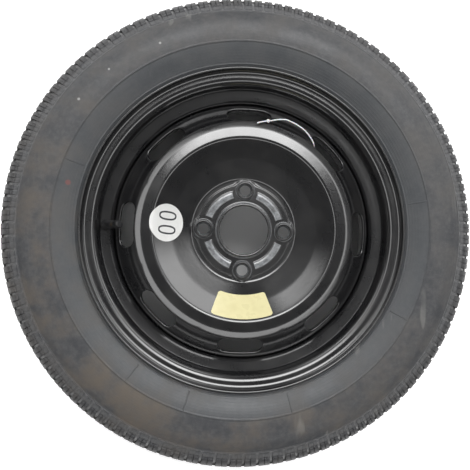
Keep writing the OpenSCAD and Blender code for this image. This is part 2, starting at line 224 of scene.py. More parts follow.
def add(tree, kind, inputs=(), **settings):
    """Adds a node with its settings, fills its inputs and returns its outputs."""
    node = tree.nodes.new(kind)
    for key, value in settings.items():
        setattr(node, key, value)
    fill(node, inputs)
    return node.outputs


def material(name, **sockets):
    """A material with values on its shader's sockets, and what its pattern is made with."""
    made = bpy.data.materials.new(name)
    made.use_nodes = True
    tree = made.node_tree
    shader = tree.nodes["Principled BSDF"]
    fill(shader, {key.replace("_", " "): value for key, value in sockets.items()})
    node = partial(add, tree)
    return made, shader, node, node("ShaderNodeTexCoord")["Object"]


def band(node, value, rise, fall):
    """1 between the end of rise and the start of fall, and 0 outside them."""
    up = node(RANGE, [value, *rise], **SOFT)[0]
    down = node(RANGE, [value, *fall, 1.0, 0.0], **SOFT)[0]
    return node(MATH, [up, down], **TIMES)[0]


def round_the_axis(node, place):
    """The radius in metres, the angle from +X in degrees, the height, and the place laid flat."""
    x, y, z = node(SPLIT, [place])
    flat = node(JOIN, [x, y])[0]
    radius = node(VECTOR, [flat], operation="LENGTH")["Value"]
    angle = node(MATH, [node(MATH, [y, x], operation="ARCTAN2")[0]], operation="DEGREES")[0]
    return radius, node(MATH, [angle, 360.0], operation="FLOORED_MODULO")[0], z, flat


# Angles of the short mould lines and of the dusty side in degrees, and places and radii of marks in metres
MOULD_LINES = (8.4, 159.0, 231.5, 250.5, 283.6, 330.0)
MOULD_RING_PITCH = 0.0034
DUSTY_AT = 225.0
PAINT_DOT = (-0.2189, 0.0556, 0.0042)
SPECKS = ((-0.2065, 0.1585, 0.0022), (-0.1705, 0.197, 0.0018), (-0.108, 0.232, 0.002))


def moulded_tyre_rubber(dust_colour, dot_colour):
    """Moulded tyre rubber, stored for years: matt dark grey, a little brown dust, scuffs and mould lines."""
    made, shader, node, place = material("moulded_tyre_rubber")
    radius, angle, height, flat = round_the_axis(node, place)
    # dust settles in patches 30 to 120 mm wide, and the rubber's grain is 1 to 2 mm
    wide = node(NOISE, {"Vector": place, "Scale": 7.0, "Detail": 3.0})[0]
    patch = node(NOISE, {"Vector": place, "Scale": 24.0, "Detail": 5.0, "Roughness": 0.62})[0]
    fine = node(NOISE, {"Vector": place, "Scale": 150.0, "Detail": 3.0, "Roughness": 0.7})[0]
    grain = node(NOISE, {"Vector": place, "Scale": 620.0, "Detail": 2.0, "Roughness": 0.7})[0]
    cloudy = node(RANGE, [patch, 0.33, 0.7], **SOFT)[0]
    colour = node(MIX, {0: cloudy, 6: "#3d3e41", 7: "#4a4b4d"}, **COLOUR)[2]
    pale = node(RANGE, [fine, 0.35, 0.75, 0.0, 0.5], **SOFT)[0]
    colour = node(MIX, {0: pale, 6: colour, 7: "#5b5b5b"}, **COLOUR)[2]
    beside_rim = node(RANGE, [radius, 0.234, 0.243, 0.6, 0.0], **SOFT)[0]
    colour = node(MIX, {0: beside_rim, 6: colour, 7: "#484b4e"}, **COLOUR)[2]
    # painted shade: the tread is mixed towards a darker grey all round, standing for the shade on the shoulder
    # that faces away from the light
    tread = node(RANGE, [radius, 0.286, 0.302, 0.0, 0.85], **SOFT)[0]
    colour = node(MIX, {0: tread, 6: colour, 7: "#2b2b2d"}, **COLOUR)[2]
    # most of the dust lies at the lower left, outside the ring beside the rim
    side = node(MATH, [node(MATH, [angle, DUSTY_AT], **MINUS)[0]], operation="RADIANS")[0]
    side = node(MATH, [side], operation="COSINE")[0]
    lower = node(RANGE, [node(MATH, [side, wide], **PLUS)[0], 0.1, 1.6, 0.25, 1.0], **SOFT)[0]
    where = band(node, radius, (0.235, 0.243), (0.278, 0.285))
    where = node(MATH, [where, 0.55, 0.3], operation="MULTIPLY_ADD")[0]
    dust = node(MATH, [node(RANGE, [patch, 0.36, 0.72], **SOFT)[0], lower], **TIMES)[0]
    dust = node(MATH, [dust, where], **TIMES)[0]
    colour = node(MIX, {0: dust, 6: colour, 7: dust_colour}, **COLOUR)[2]
    streak = node("ShaderNodeMapping", {"Vector": place, "Scale": (1.0, 0.16, 1.0)})[0]
    streak = node(NOISE, {"Vector": streak, "Scale": 60.0, "Detail": 2.0})[0]
    scuff = node(MATH, [node(RANGE, [streak, 0.66, 0.74, 0.0, 0.35], **SOFT)[0],
                        node(RANGE, [wide, 0.5, 0.6], **SOFT)[0]], **TIMES)[0]
    colour = node(MIX, {0: scuff, 6: colour, 7: "#8b8a86"}, **COLOUR)[2]
    outboard = node(RANGE, [height, 0.05, 0.07], **SOFT)[0]
    marks = [(*PAINT_DOT, 0.55, dot_colour)] + [(*speck, 0.7, "#b9b9b6") for speck in SPECKS]
    for x, y, size, amount, paint in marks:
        away = node(VECTOR, [flat, (x, y, 0.0)], operation="DISTANCE")["Value"]
        mark = node(RANGE, [away, size * 0.45, size, amount, 0.0], **SOFT)[0]
        mark = node(MATH, [mark, outboard], **TIMES)[0]
        colour = node(MIX, {0: mark, 6: colour, 7: paint}, **COLOUR)[2]
    # the mould leaves rings 3.4 mm apart beside the rim, and six short lines across the sidewall
    rings = node(MATH, [node(MATH, [radius, 2 * math.pi / MOULD_RING_PITCH], **TIMES)[0]], operation="SINE")[0]
    rings = node(MATH, [node(RANGE, [rings, 0.55, 1.0], **SOFT)[0],
                        node(RANGE, [radius, 0.2, 0.236, 1.0, 0.2], **SOFT)[0]], **TIMES)[0]
    across = 0.0
    for at in MOULD_LINES:
        off = node(MATH, [node(MATH, [angle, at], **MINUS)[0]], operation="ABSOLUTE")[0]
        across = node(MATH, [across, node(RANGE, [off, 0.1, 0.28, 1.0, 0.0], **SOFT)[0]], **PLUS)[0]
    across = node(MATH, [across, band(node, radius, (0.2145, 0.2155), (0.2375, 0.2385))], **TIMES)[0]
    normal = node("ShaderNodeBump", {"Height": grain, "Distance": 0.00015, "Strength": 0.7})[0]
    for lines, height, strength in ((rings, 0.00025, 0.5), (across, 0.0006, 0.9)):
        normal = node("ShaderNodeBump", {"Height": lines, "Distance": height, "Strength": strength,
                                         "Normal": normal})[0]
    rough = node(RANGE, [patch, 0.3, 0.75, 0.38, 0.58], **SOFT)[0]
    fill(shader, {"Base Color": colour, "Roughness": rough, "Normal": normal})
    return made


def gloss_enamel(name, colour, dust, worn_above=None):
    """Gloss enamel baked on pressed steel: deep black, a faint orange peel and a film of dust."""
    made, shader, node, place = material(name, Coat_Weight=1.0, Coat_Roughness=0.09, Coat_IOR=1.8)
    cloudy = node(NOISE, {"Vector": place, "Scale": 22.0, "Detail": 5.0, "Roughness": 0.6})[0]
    # orange peel is 2 to 4 mm wide, and the sheet itself waves over 20 to 30 mm
    peel = node(NOISE, {"Vector": place, "Scale": 240.0, "Detail": 2.0})[0]
    wave = node(NOISE, {"Vector": place, "Scale": 40.0, "Detail": 2.0})[0]
    mote = node(NOISE, {"Vector": place, "Scale": 700.0, "Detail": 1.0})[0]
    film = node(MATH, [node(RANGE, [cloudy, 0.42, 0.75, 0.0, dust], **SOFT)[0],
                       node(RANGE, [mote, 0.74, 0.8, 0.0, dust * 2], **SOFT)[0]], **PLUS)[0]
    paint = node(MIX, {0: film, 6: colour, 7: "#77736c"}, **COLOUR)[2]
    rough = node(RANGE, [cloudy, 0.35, 0.75, 0.26, 0.42], **SOFT)[0]
    if worn_above:
        # the lands touch other parts, so their paint is rubbed thin and grey
        height = node(SPLIT, [place])[2]
        rubbed = band(node, height, (worn_above, worn_above + 0.0006), (0.0343, 0.0348))
        radius = round_the_axis(node, place)[0]
        rubbed = node(MATH, [rubbed, node(RANGE, [radius, 0.064, 0.067, 1.0, 0.0], **SOFT)[0]], **TIMES)[0]
        fleck = node(NOISE, {"Vector": place, "Scale": 130.0, "Detail": 5.0, "Roughness": 0.7})[0]
        amount = node(MATH, [rubbed, node(RANGE, [fleck, 0.3, 0.7, 0.3, 0.95], **SOFT)[0]], **TIMES)[0]
        paint = node(MIX, {0: amount, 6: paint, 7: "#96999c"}, **COLOUR)[2]
        rough = node(MATH, [rubbed, 0.12, rough], operation="MULTIPLY_ADD")[0]
    under = node("ShaderNodeBump", {"Height": wave, "Distance": 0.0003, "Strength": 0.3})[0]
    normal = node("ShaderNodeBump", {"Height": peel, "Distance": 0.00006, "Strength": 0.5,
                                     "Normal": under})[0]
    fill(shader, {"Base Color": paint, "Roughness": rough, "Normal": normal, "Coat Normal": normal})
    return made


def plain_finish(name, colour, rough, grain, depth, worn="#8a8986", amount=0.12, **sockets):
    """A small part's own finish: a colour with a little wear, a roughness range and a grain in millimetres."""
    made, shader, node, place = material(name, **sockets)
    cloudy = node(NOISE, {"Vector": place, "Scale": 125.0 / grain, "Detail": 4.0})[0]
    fine = node(NOISE, {"Vector": place, "Scale": 1000.0 / grain, "Detail": 3.0, "Roughness": 0.6})[0]
    wear = node(RANGE, [cloudy, 0.45, 0.8, 0.0, amount], **SOFT)[0]
    fill(shader, {
        "Base Color": node(MIX, {0: wear, 6: colour, 7: worn}, **COLOUR)[2],
        "Roughness": node(RANGE, [cloudy, 0.3, 0.7, *rough], **SOFT)[0],
        "Normal": node("ShaderNodeBump", {"Height": fine, "Distance": depth * MM, "Strength": 0.6})[0],
    })
    return made


# Geometry Nodes: copies of an item round the Z axis

REPEAT_INPUTS = {
    "Geometry": "Geometry", "Count": "Int", "Group Size": "Int", "Start": "Float", "Step": "Float",
    "Group Step": "Float", "Swing": "Float", "Waves": "Float", "Phase": "Float", "Material": "Material",
}


def round_repeat():
    """Copies an item round Z. The copies can stand in groups, and their pitch can swing in waves."""
    tree = bpy.data.node_groups.new("round_repeat", "GeometryNodeTree")
    tree.interface.new_socket("Geometry", in_out="OUTPUT", socket_type="NodeSocketGeometry")
    for name, kind in REPEAT_INPUTS.items():
        tree.interface.new_socket(name, in_out="INPUT", socket_type="NodeSocket" + kind)
    node = partial(add, tree)
    given = node("NodeGroupInput")
    points = node("GeometryNodePoints", [given["Count"]])[0]
    index = node("GeometryNodeInputIndex")[0]
    group = node(MATH, [index, given["Group Size"]], operation="DIVIDE")[0]
    group = node(MATH, [group], operation="FLOOR")[0]
    inside = node(MATH, [index, node(MATH, [group, given["Group Size"]], **TIMES)[0]], **MINUS)[0]
    even = node(MATH, [group, given["Group Step"], node(MATH, [inside, given["Step"]], **TIMES)[0]],
                operation="MULTIPLY_ADD")[0]
    wave = node(MATH, [node(MATH, [even, given["Phase"]], **MINUS)[0], given["Waves"]], **TIMES)[0]
    swing = node(MATH, [node(MATH, [wave], operation="SINE")[0], given["Swing"]], **TIMES)[0]
    angle = node(MATH, [node(MATH, [even, swing], **MINUS)[0], given["Start"]], **PLUS)[0]
    stretch = node(MATH, [node(MATH, [wave], operation="COSINE")[0],
                          node(MATH, [given["Swing"], given["Waves"]], **TIMES)[0]], **TIMES)[0]
    stretch = node(MATH, [1.0, stretch], **MINUS)[0]
    copies = node("GeometryNodeInstanceOnPoints", {
        "Points": points, "Instance": given["Geometry"], "Rotation": node(JOIN, {"Z": angle})[0],
        "Scale": node(JOIN, {"X": 1.0, "Y": stretch, "Z": 1.0})[0],
    })[0]
    real = node("GeometryNodeRealizeInstances", [copies])[0]
    painted = node("GeometryNodeSetMaterial", {"Geometry": real, "Material": given["Material"]})[0]
    node("NodeGroupOutput", [painted])
    return tree


def repeated(name, item, finish, count, step, start=0.0, group=None, group_step=0.0, swing=0.0, waves=0.0,
             phase=0.0, place=None):
    """The item's copies round Z as one plain mesh. Angles are in degrees."""
    tree = bpy.data.node_groups.get("round_repeat") or round_repeat()
    sockets = {s.name: s.identifier for s in tree.interface.items_tree if s.in_out == "INPUT"}
    modifier = item.modifiers.new("copies", "NODES")
    modifier.node_group = tree
    values = {"Count": count, "Group Size": group or count, "Start": math.radians(start),
              "Step": math.radians(step), "Group Step": math.radians(group_step),
              "Swing": math.radians(swing), "Waves": waves, "Phase": math.radians(phase), "Material": finish}
    for key, value in values.items():
        modifier[sockets[key]] = value
    item.update_tag()
    graph = bpy.context.evaluated_depsgraph_get()
    mesh = bpy.data.meshes.new_from_object(item.evaluated_get(graph))
    item.modifiers.remove(modifier)
    bpy.data.objects.remove(item)
    mesh.name = name
    if place is not None:
        mesh.transform(place)
    piece = bpy.data.objects.new(name, mesh)
    bpy.context.scene.collection.objects.link(piece)
    return piece


# Tyre

# Radii of the sidewall's arcs inside and outside its widest place, and a divisor that gives the crown its curve
LOWER_ARC, UPPER_ARC, CROWN_ARC = 84.0, 58.0, 744.0
WIDE_AT, WIDE_Z = 250, 95
RAISED_RINGS = ((211.5, 1.4), (239.0, 1.2), (281.5, 1.2))
RING_SECTION = ((-0.9, 0), (-0.55, 0.35), (-0.3, 0.6), (0.3, 0.6), (0.55, 0.35), (0.9, 0))
SHOULDER_AT, SHOULDER_R = (281.5, 55.0), 25.5
BEAD = [(189.0, 60), (190.05, 69.5), (191.8, 73.8), (194.6, 75.8), (198.1, 76.2)]
CURL_AT, CURL_R = (198.1, 85.7), 9.5
INSIDE = [(299.3, 0), (299, 20), (297.6, 40), (293.5, 56), (286, 68), (277, 77.5), (266, 84.5), (250, 88),
          (235, 86.3), (222, 80.5), (211, 72.5), (202, 64), (195, 59.5)]
TREAD_FOOT = 283.0
TREAD_R, RIB_R, SIPE = 300, 309, 1.0
DEEPEST_NOTCH = 4.4
SWING_WAVES, SWING_PHASE = 5, 12
SLIT_HALF, SLIT_DEPTH = 0.45, 0.3


def crown_r(tyre, z):
    """The radius of the tread's crown at a height z."""
    return tyre.radius / MM - z * z / CROWN_ARC


def carcass_outline():
    """The tyre without its tread: sidewalls with their raised rings, and the beads."""
    half = [np.array(BEAD)]
    half.append(arc_line(CURL_AT, CURL_R, -82, -42, 6)[0])
    wall = np.concatenate([
        arc_line((WIDE_AT, WIDE_Z - LOWER_ARC), LOWER_ARC, 119.6, 90, 26)[0][:-1],
        arc_line((WIDE_AT, WIDE_Z - UPPER_ARC), UPPER_ARC, 90, 53, 30)[0],
    ])
    wall = wall[wall[:, 0] > 208.4]
    extra = []
    for ring_r, ring_w in RAISED_RINGS:
        arc = LOWER_ARC if ring_r < WIDE_AT else UPPER_ARC
        wall = wall[np.abs(wall[:, 0] - ring_r) > ring_w]
        for off, rise in RING_SECTION:
            r = ring_r + off * ring_w
            extra.append((r, WIDE_Z - arc + math.sqrt(arc * arc - (r - WIDE_AT) ** 2) + rise))
    wall = np.concatenate([wall, np.array(extra)])
    wall = wall[np.argsort(wall[:, 0])]
    wall = wall[wall[:, 0] < TREAD_FOOT + 0.6]
    half.append(wall)
    half.append(np.array([(284.6, 81.9), (292.5, 76.0), (299.5, 66), (301.0, 52), (301.5, 30)]))
    outer = np.concatenate(half)
    inner = np.array(INSIDE[::-1])
    mirrored = outer[::-1] * [1, -1]
    return np.concatenate([outer, mirrored, inner[1:-1] * [1, -1], inner[::-1]])


def tread_rows(tyre):
    """One side's tread surface, from its foot on the sidewall to the middle: points, and a notch's depth."""
    wall = arc_line((WIDE_AT, WIDE_Z - UPPER_ARC), UPPER_ARC, 55.4, 43.6, 5)[0]
    shoulder = arc_line(SHOULDER_AT, SHOULDER_R, 61.5, 27, 9)[0]
    top = [(crown_r(tyre, z), z) for z in (63.2, 60.5, 58.0, 56.6, 55.2, 51.0, 48.2, 47.5)]
    floor = crown_r(tyre, 43) - tyre.groove / MM
    groove = [(crown_r(tyre, 47) - 0.7, 47.0), (floor + 0.8, 46.6), (floor, 45.8), (floor, 40.2),
              (crown_r(tyre, 15) - tyre.groove / MM + 0.4, 17)]
    points = np.concatenate([[(281.2, 84.6)], wall, shoulder, top[1:], groove])
    # a notch's floor is a straight line from its foot, as deep as DEEPEST_NOTCH at most
    foot = np.array([302.5, 58.0])
    lean = math.radians(33)
    line = np.array([-math.sin(lean), math.cos(lean)])
    away = np.array([line[1], -line[0]])
    depth = (points - foot) @ away
    depth = np.clip(np.minimum(depth, DEEPEST_NOTCH), 0.0, None)
    depth = np.where((points[:, 0] > 283) & (points[:, 0] < 296), np.maximum(depth, 0.8), depth)
    depth = np.where(points[:, 1] > 56.0, depth, 0.0)
    depth[:1] = 0
    return points, depth


def tread_grid(tyre):
    """The shoulders and the tread's floor, with a notch at each pitch and a fine slit halfway."""
    side, depth = tread_rows(tyre)
    line = np.concatenate([side, side[::-1] * [1, -1]])
    deep = np.concatenate([depth, depth[::-1]])
    d = np.gradient(line, axis=0)
    d /= np.hypot(d[:, 0], d[:, 1])[:, None]
    inward = np.stack([d[:, 1], -d[:, 0]], 1)
    inward *= np.where((inward @ np.array([1.0, 0]))[:, None] > 0, -1, 1)
    count = tyre.pitches
    t = np.radians(360.0 * np.arange(count + 1) / count)
    start = t - math.radians(tyre.swing) * np.sin(SWING_WAVES * (t - math.radians(SWING_PHASE)))
    half, edge = tyre.notch_width / MM / 2, 0.55
    angles, cuts = [], []
    for i in range(count):
        pitch = (start[i + 1] - start[i]) * TREAD_R
        notch = [(-half - edge, 0), (-half, 1), (half, 1), (half + edge, 0), (pitch * 0.3, 0)]
        slit = [(pitch / 2 - SLIT_HALF, 0), (pitch / 2, SLIT_DEPTH), (pitch / 2 + SLIT_HALF, 0),
                (pitch * 0.7, 0)]
        for at, cut in notch + slit:
            angles.append(start[i] + at / TREAD_R)
            cuts.append(cut)
    angles.append(angles[0] + 2 * math.pi)
    cuts.append(cuts[0])
    t, cuts = np.array(angles), np.array(cuts)
    shift = inward[:, None, :] * (deep[:, None] * cuts[None, :])[..., None]
    at = line[:, None, :] + shift
    outer = np.stack([at[..., 0] * np.cos(t), at[..., 0] * np.sin(t), at[..., 1]], -1)
    under = np.array([(281.2, 84.6), (281.0, 82.0), (297.5, 60), (300.0, 40), (300.2, 0)])
    under = np.concatenate([under, under[:-1][::-1] * [1, -1]])
    inner = np.stack([under[:, :1] * np.cos(t), under[:, :1] * np.sin(t), under[:, 1:] + 0 * t], -1)
    return [outer, inner]


def rib_block(floor, z0, z1, length, tyre):
    """One block of a tread rib, from the radius floor up to the crown, its edges eased."""
    item = bmesh.new()
    zs = [z0, z0 + 0.5, z0 + (z1 - z0) * 0.35, z0 + (z1 - z0) * 0.65, z1 - 0.5, z1]
    ys = [-length / 2, -length / 2 + 0.45, length / 2 - 0.45, length / 2]
    rows = []
    for i, z in enumerate(zs):
        for j, y in enumerate(ys):
            low = (i in (0, len(zs) - 1)) or (j in (0, len(ys) - 1))
            r = crown_r(tyre, z) - (0.4 if low else 0)
            rows.append((math.sqrt(max(r * r - y * y, 0)), y, z))
    top = [item.verts.new(Vector(p) * MM) for p in rows]
    n = len(ys)
    for i in range(len(zs) - 1):
        for a in range(i * n, i * n + n - 1):
            item.faces.new([top[a], top[a + n], top[a + n + 1], top[a + 1]])
    rim = [e for e in item.edges if e.is_boundary]
    wall = bmesh.ops.extrude_edge_only(item, edges=rim)["geom"]
    lower = [v for v in wall if isinstance(v, bmesh.types.BMVert)]
    for v in lower:
        v.co.x = floor * MM
    bmesh.ops.contextual_create(item, geom=[e for e in item.edges if e.is_boundary])
    bmesh.ops.recalc_face_normals(item, faces=item.faces)
    mesh = bpy.data.meshes.new("rib_block")
    item.to_mesh(mesh)
    item.free()
    block = bpy.data.objects.new("rib_block", mesh)
    bpy.context.scene.collection.objects.link(block)
    return block


class TyreSettings(bpy.types.PropertyGroup):
    radius: FloatProperty(name="Radius", description="Outer radius of the inflated tyre",
                          default=0.31075, min=0.3, max=0.32, unit="LENGTH")
    groove: FloatProperty(name="Groove depth", description="Depth of the grooves round the tread",
                          default=0.0075, min=0.002, max=0.008, unit="LENGTH")
    notch_width: FloatProperty(name="Notch width", description="Width of a shoulder notch",
                               default=0.0030, min=0.002, max=0.004, unit="LENGTH")
    pitches: IntProperty(name="Pitches", description="Number of notches round each shoulder",
                         default=118, min=60, max=130)
    swing: FloatProperty(name="Pitch swing", description="Degrees by which the notches leave an even pitch",
                         default=1.83, min=0, max=2.5)
    dust: FloatVectorProperty(name="Dust", description="Colour of the dust on the sidewall",
                              subtype="COLOR", default=linear("#5e554b"), min=0, max=1)
    dot: FloatVectorProperty(name="Dot", description="Colour of the small paint dot on the sidewall",
                             subtype="COLOR", default=linear("#8a4a46"), min=0, max=1)


class WHEEL_OT_tyre(bpy.types.Operator):
    """Makes the tyre: its carcass, its notched shoulders and the blocks of its three ribs"""
    bl_idname = "wheel.tyre"
    bl_label = "Tyre"

    def execute(self, context):
        tyre = context.scene.wheel_tyre
        rubber = moulded_tyre_rubber([*tyre.dust, 1], [*tyre.dot, 1])
        carcass = piece_from_grids("tyre_carcass", [turned(carcass_outline(), COLUMNS)], rubber, sharp=50)
        keep(carcass, "wheel", "tyre", "tyre")
        tread = piece_from_grids("tyre_tread", tread_grid(tyre), rubber, sharp=50)
        keep(tread, "wheel", "tyre", "tyre")
        pitch = 2 * math.pi * RIB_R / tyre.pitches
        floor = crown_r(tyre, 43) - tyre.groove / MM - 1.5
        for name, z0, z1, start in (("middle", -11, 11, 0.0), ("outer", 19, 39, 1.1), ("inner", -39, -19, 1.1)):
            block = rib_block(floor, z0, z1, pitch - SIPE, tyre)
            rib = repeated("tyre_rib_" + name, block, rubber, tyre.pitches, 360 / tyre.pitches, start=start,
                           swing=tyre.swing, waves=SWING_WAVES, phase=SWING_PHASE)
            rib.data.set_sharp_from_angle(angle=math.radians(30))
            keep(rib, "wheel", "tyre", "tyre")
        return {"FINISHED"}


# Rim

CURL_MID = 8.25
WELDS, RIPPLES, WELD_LENGTH, WELD_START = 8, 22, 15, 15
RIM_BENDS = [(198.1, 77.45, 0), (189.2, 77.45, 7.75), (187.6, 59.5, 6), (188.7, 56.5, 4), (186.6, 52.3, 5),
             (171.75, 42.2, 8), (171.75, -8, 14), (187, -47, 8), (187, -52.5, 4), (188.7, -56.5, 4),
             (187.6, -59.5, 6), (189.2, -77.45, 7.75), (198.1, -77.45, 0)]


def rim_outline(sheet):
    """The rim's sheet from the outboard lip to the inboard one."""
    lip, lip_n = arc_line(CURL_AT, CURL_MID, 15, -86, 18)
    body, body_n = bent_line(RIM_BENDS, turn=5.0, step=7.0)
    back, back_n = lip[::-1] * [1, -1], lip_n[::-1] * [1, -1]
    points = np.concatenate([lip, body[1:-1], back])
    normals = np.concatenate([lip_n, body_n[1:-1], back_n])
    return sheet_outline(points, normals, sheet, (0.9, 0.9))


class RimSettings(bpy.types.PropertyGroup):
    sheet: FloatProperty(name="Sheet", description="Thickness of the rim's steel sheet",
                         default=0.0025, min=0.002, max=0.003, unit="LENGTH")
    paint: FloatVectorProperty(name="Paint", description="Colour of the rim's enamel",
                               subtype="COLOR", default=linear("#121214"), min=0, max=1)


class WHEEL_OT_rim(bpy.types.Operator):
    """Makes the rolled steel rim and the ripples of its weld beads"""
    bl_idname = "wheel.rim"
    bl_label = "Rim"

    def execute(self, context):
        rim = context.scene.wheel_rim
        paint = gloss_enamel("gloss_black_enamel_rim", [*rim.paint, 1], 0.03)
        piece = piece_from_grids("rim_sheet", [turned(rim_outline(rim.sheet / MM), 288)], paint, sharp=35)
        keep(piece, "wheel", "rim_paint", "rim")
        weld = plain_finish("painted_weld", "#1c1c1e", (0.3, 0.5), 2.0, 0.1, Coat_Weight=0.5)
        bead = weld_ripple(weld)
        beads = repeated("weld_ripples", bead, weld, WELDS * RIPPLES, WELD_LENGTH / (RIPPLES - 1),
                         start=context.scene.wheel_disc.clock + WELD_START, group=RIPPLES,
                         group_step=360 / WELDS)
        keep(beads, "wheel", "weld", "weld_beads")
        return {"FINISHED"}


def weld_ripple(finish):
    """One scale of a fillet weld, in the corner of the disc's edge and the rim's well."""
    rings = []
    for y, size in ((-1.3, 0.25), (-0.9, 0.7), (-0.3, 0.97), (0.35, 0.97), (0.9, 0.72), (1.3, 0.25)):
        t = np.linspace(0, 2 * math.pi, 13)
        x = 170.3 - 1.9 * size + 1.9 * size * np.cos(t) * 0.95
        z = -2.2 + 2.1 * size * np.sin(t)
        rings.append(np.stack([x, np.full(13, y), z], -1))
    rings = [np.tile(rings[0].mean(0), (13, 1))] + rings + [np.tile(rings[-1].mean(0), (13, 1))]
    return piece_from_grids("weld_ripple", [np.array(rings)], finish)


# Disc: a pressed sheet. s is the distance along its middle line, theta the angle round the axis.

HUB_Z = 28.75
DISC_LOW = [(39.4, HUB_Z, 0), (70, HUB_Z, 8), (97, 46.9, 60), (120.5, 65.3, 5), (133, 64.2, 16),
            (142, 60.9, 12), (168.75, 38.2, 9), (168.75, 0.8, 0)]
DISC_LIP = [(34.3, 38.75, 0), (34.3, 30.75, 5), (39.4, 30.75, 0)]
BOLT_R, VENT_R = 54.0, 152.2
HUB_ROWS = [39.4, 41, 42.6, 44, 44.5, 44.9, 45.3, 45.8, 47, 48.7, 50.4, 52, 53.4, 54.2, 54.7, 55.1, 55.5, 56,
            57.5, 59, 60.3, 61.2, 61.7, 62.1, 62.6, 63.1, 63.5, 64, 65, 66.2, 67.5, 68.8, 70, 71, 72.1]
VENT_ROWS = (137.0, 165.0)
QUARTER, EIGHTH, BOLT_COLUMNS = COLUMNS // 4, COLUMNS // 8, 13
STEP_R, STEP_RISE, LAND_RISE = 62.6, 2.0, 1.5
BOLT_STEP_R, BOSS_FOOT, BOSS_RISE = 15.8, 14.2, 3.6


class DiscLine:
    """The disc's middle line, by the distance along it."""

    def __init__(self, thick):
        self.thick = thick
        self.points, self.normals = bent_line(DISC_LOW, turn=1.5, step=0.8)
        self.s = np.concatenate([[0], np.cumsum(np.hypot(*np.diff(self.points, axis=0).T))])
        rows = bent_line(DISC_LOW, turn=5.0, step=5.0)[0]
        self.rows = np.array([self.nearest(p) for p in rows])
        self.up_to = int(np.argmax(self.points[:, 0] > VENT_ROWS[1]))

    def nearest(self, p):
        """The distance along the line to the place nearest to a point."""
        return self.s[int(np.argmin(np.hypot(*(self.points - p).T)))]

    def s_at(self, r):
        """The distance along the line at a radius, up to the outer edge of the vents."""
        return np.interp(r, self.points[:self.up_to, 0], self.s[:self.up_to])

    def at(self, s, theta, off, rise=0.0):
        """The point at s and theta, off the middle line by a distance, and raised."""
        p = [np.interp(s, self.s, self.points[:, k]) for k in (0, 1)]
        n = [np.interp(s, self.s, self.normals[:, k]) for k in (0, 1)]
        r = p[0] + n[0] * off
        z = p[1] + n[1] * off + rise
        return np.stack(np.broadcast_arrays(r * np.cos(theta), r * np.sin(theta), z), -1)


def hub_rise(r, angle):
    """How far the pressed steps lift the sheet near the hub. The angle is counted from a bolt, in radians."""
    x, y = r * np.cos(angle) - BOLT_R, r * np.sin(angle)
    bolt = np.hypot(x, y)
    a, b, soft = r - STEP_R, bolt - BOLT_STEP_R, 3.0
    h = np.maximum(soft - np.abs(a - b), 0) / soft
    inside = np.minimum(a, b) - h * h * soft / 4
    rise = STEP_RISE * (1 - smooth_step(inside, -0.9, 0.9))
    across = smooth_step(r, 44.2, 47.6) * (1 - smooth_step(r, 52.4, 55.8))
    column = 2 * math.pi / COLUMNS
    along = smooth_step(np.abs(angle), BOLT_COLUMNS * column, (BOLT_COLUMNS + 1) * column)
    return rise + LAND_RISE * across * along


def fold(angle):
    """An angle as counted from the nearest of four bolts."""
    quarter = math.pi / 2
    return (angle + quarter / 2) % quarter - quarter / 2


def loop_round(rows, columns):
    """Corner-to-corner walk round a patch: the two parameters of each of its outer points, closed."""
    a = [(rows[0], c) for c in columns]
    b = [(r, columns[-1]) for r in rows[1:]]
    c = [(rows[-1], k) for k in columns[::-1][1:]]
    d = [(r, columns[0]) for r in rows[::-1][1:]]
    return np.array(a + b + c + d)


def slot_reach(x, y, half_x, half_y, corner):
    """How far along the ray to (x, y) the edge of a rounded slot lies, from 0 to 1."""
    low, high = np.zeros_like(x), np.ones_like(x)
    for _ in range(40):
        t = (low + high) / 2
        qx, qy = np.abs(x * t) - half_x + corner, np.abs(y * t) - half_y + corner
        away = np.hypot(np.maximum(qx, 0), np.maximum(qy, 0)) + np.minimum(np.maximum(qx, qy), 0) - corner
        low, high = np.where(away < 0, t, low), np.where(away < 0, high, t)
    return (low + high) / 2


def vent_patch(line, centre, rows, columns, vent):
    """The sheet round one vent slot: both faces out to the patch's edge, and the rolled edge between them."""
    h = line.thick / 2
    s_mid = line.s_at(VENT_R)
    outer = loop_round(rows, columns)
    x, y = outer[:, 0] - s_mid, (outer[:, 1] - centre) * VENT_R
    half_x, half_y, corner = vent.vent_width / MM / 2, vent.vent_length / MM / 2, vent.vent_corner / MM
    roll, beside = 1.0, 2.6
    rings = []
    start = slot_reach(x, y, half_x + beside, half_y + beside, corner + beside)
    for k in np.linspace(0, 1, 6)[:-1]:
        t = 1 + (start - 1) * k
        rings.append((x * t, y * t, 0.0))
    for d in (beside, 1.7, 1.0, 0.75, 0.5, 0.3, 0.12, 0.0):
        t = slot_reach(x, y, half_x + d, half_y + d, corner + d)
        drop = roll - math.sqrt(max(roll * roll - max(roll - d, 0) ** 2, 0))
        rings.append((x * t, y * t, drop))
    top = [line.at(s_mid + a, centre + b / VENT_R, h - drop) for a, b, drop in rings]
    bottom = [line.at(s_mid + a, centre + b / VENT_R, -h + drop) for a, b, drop in rings]
    return np.array(top + bottom[::-1])


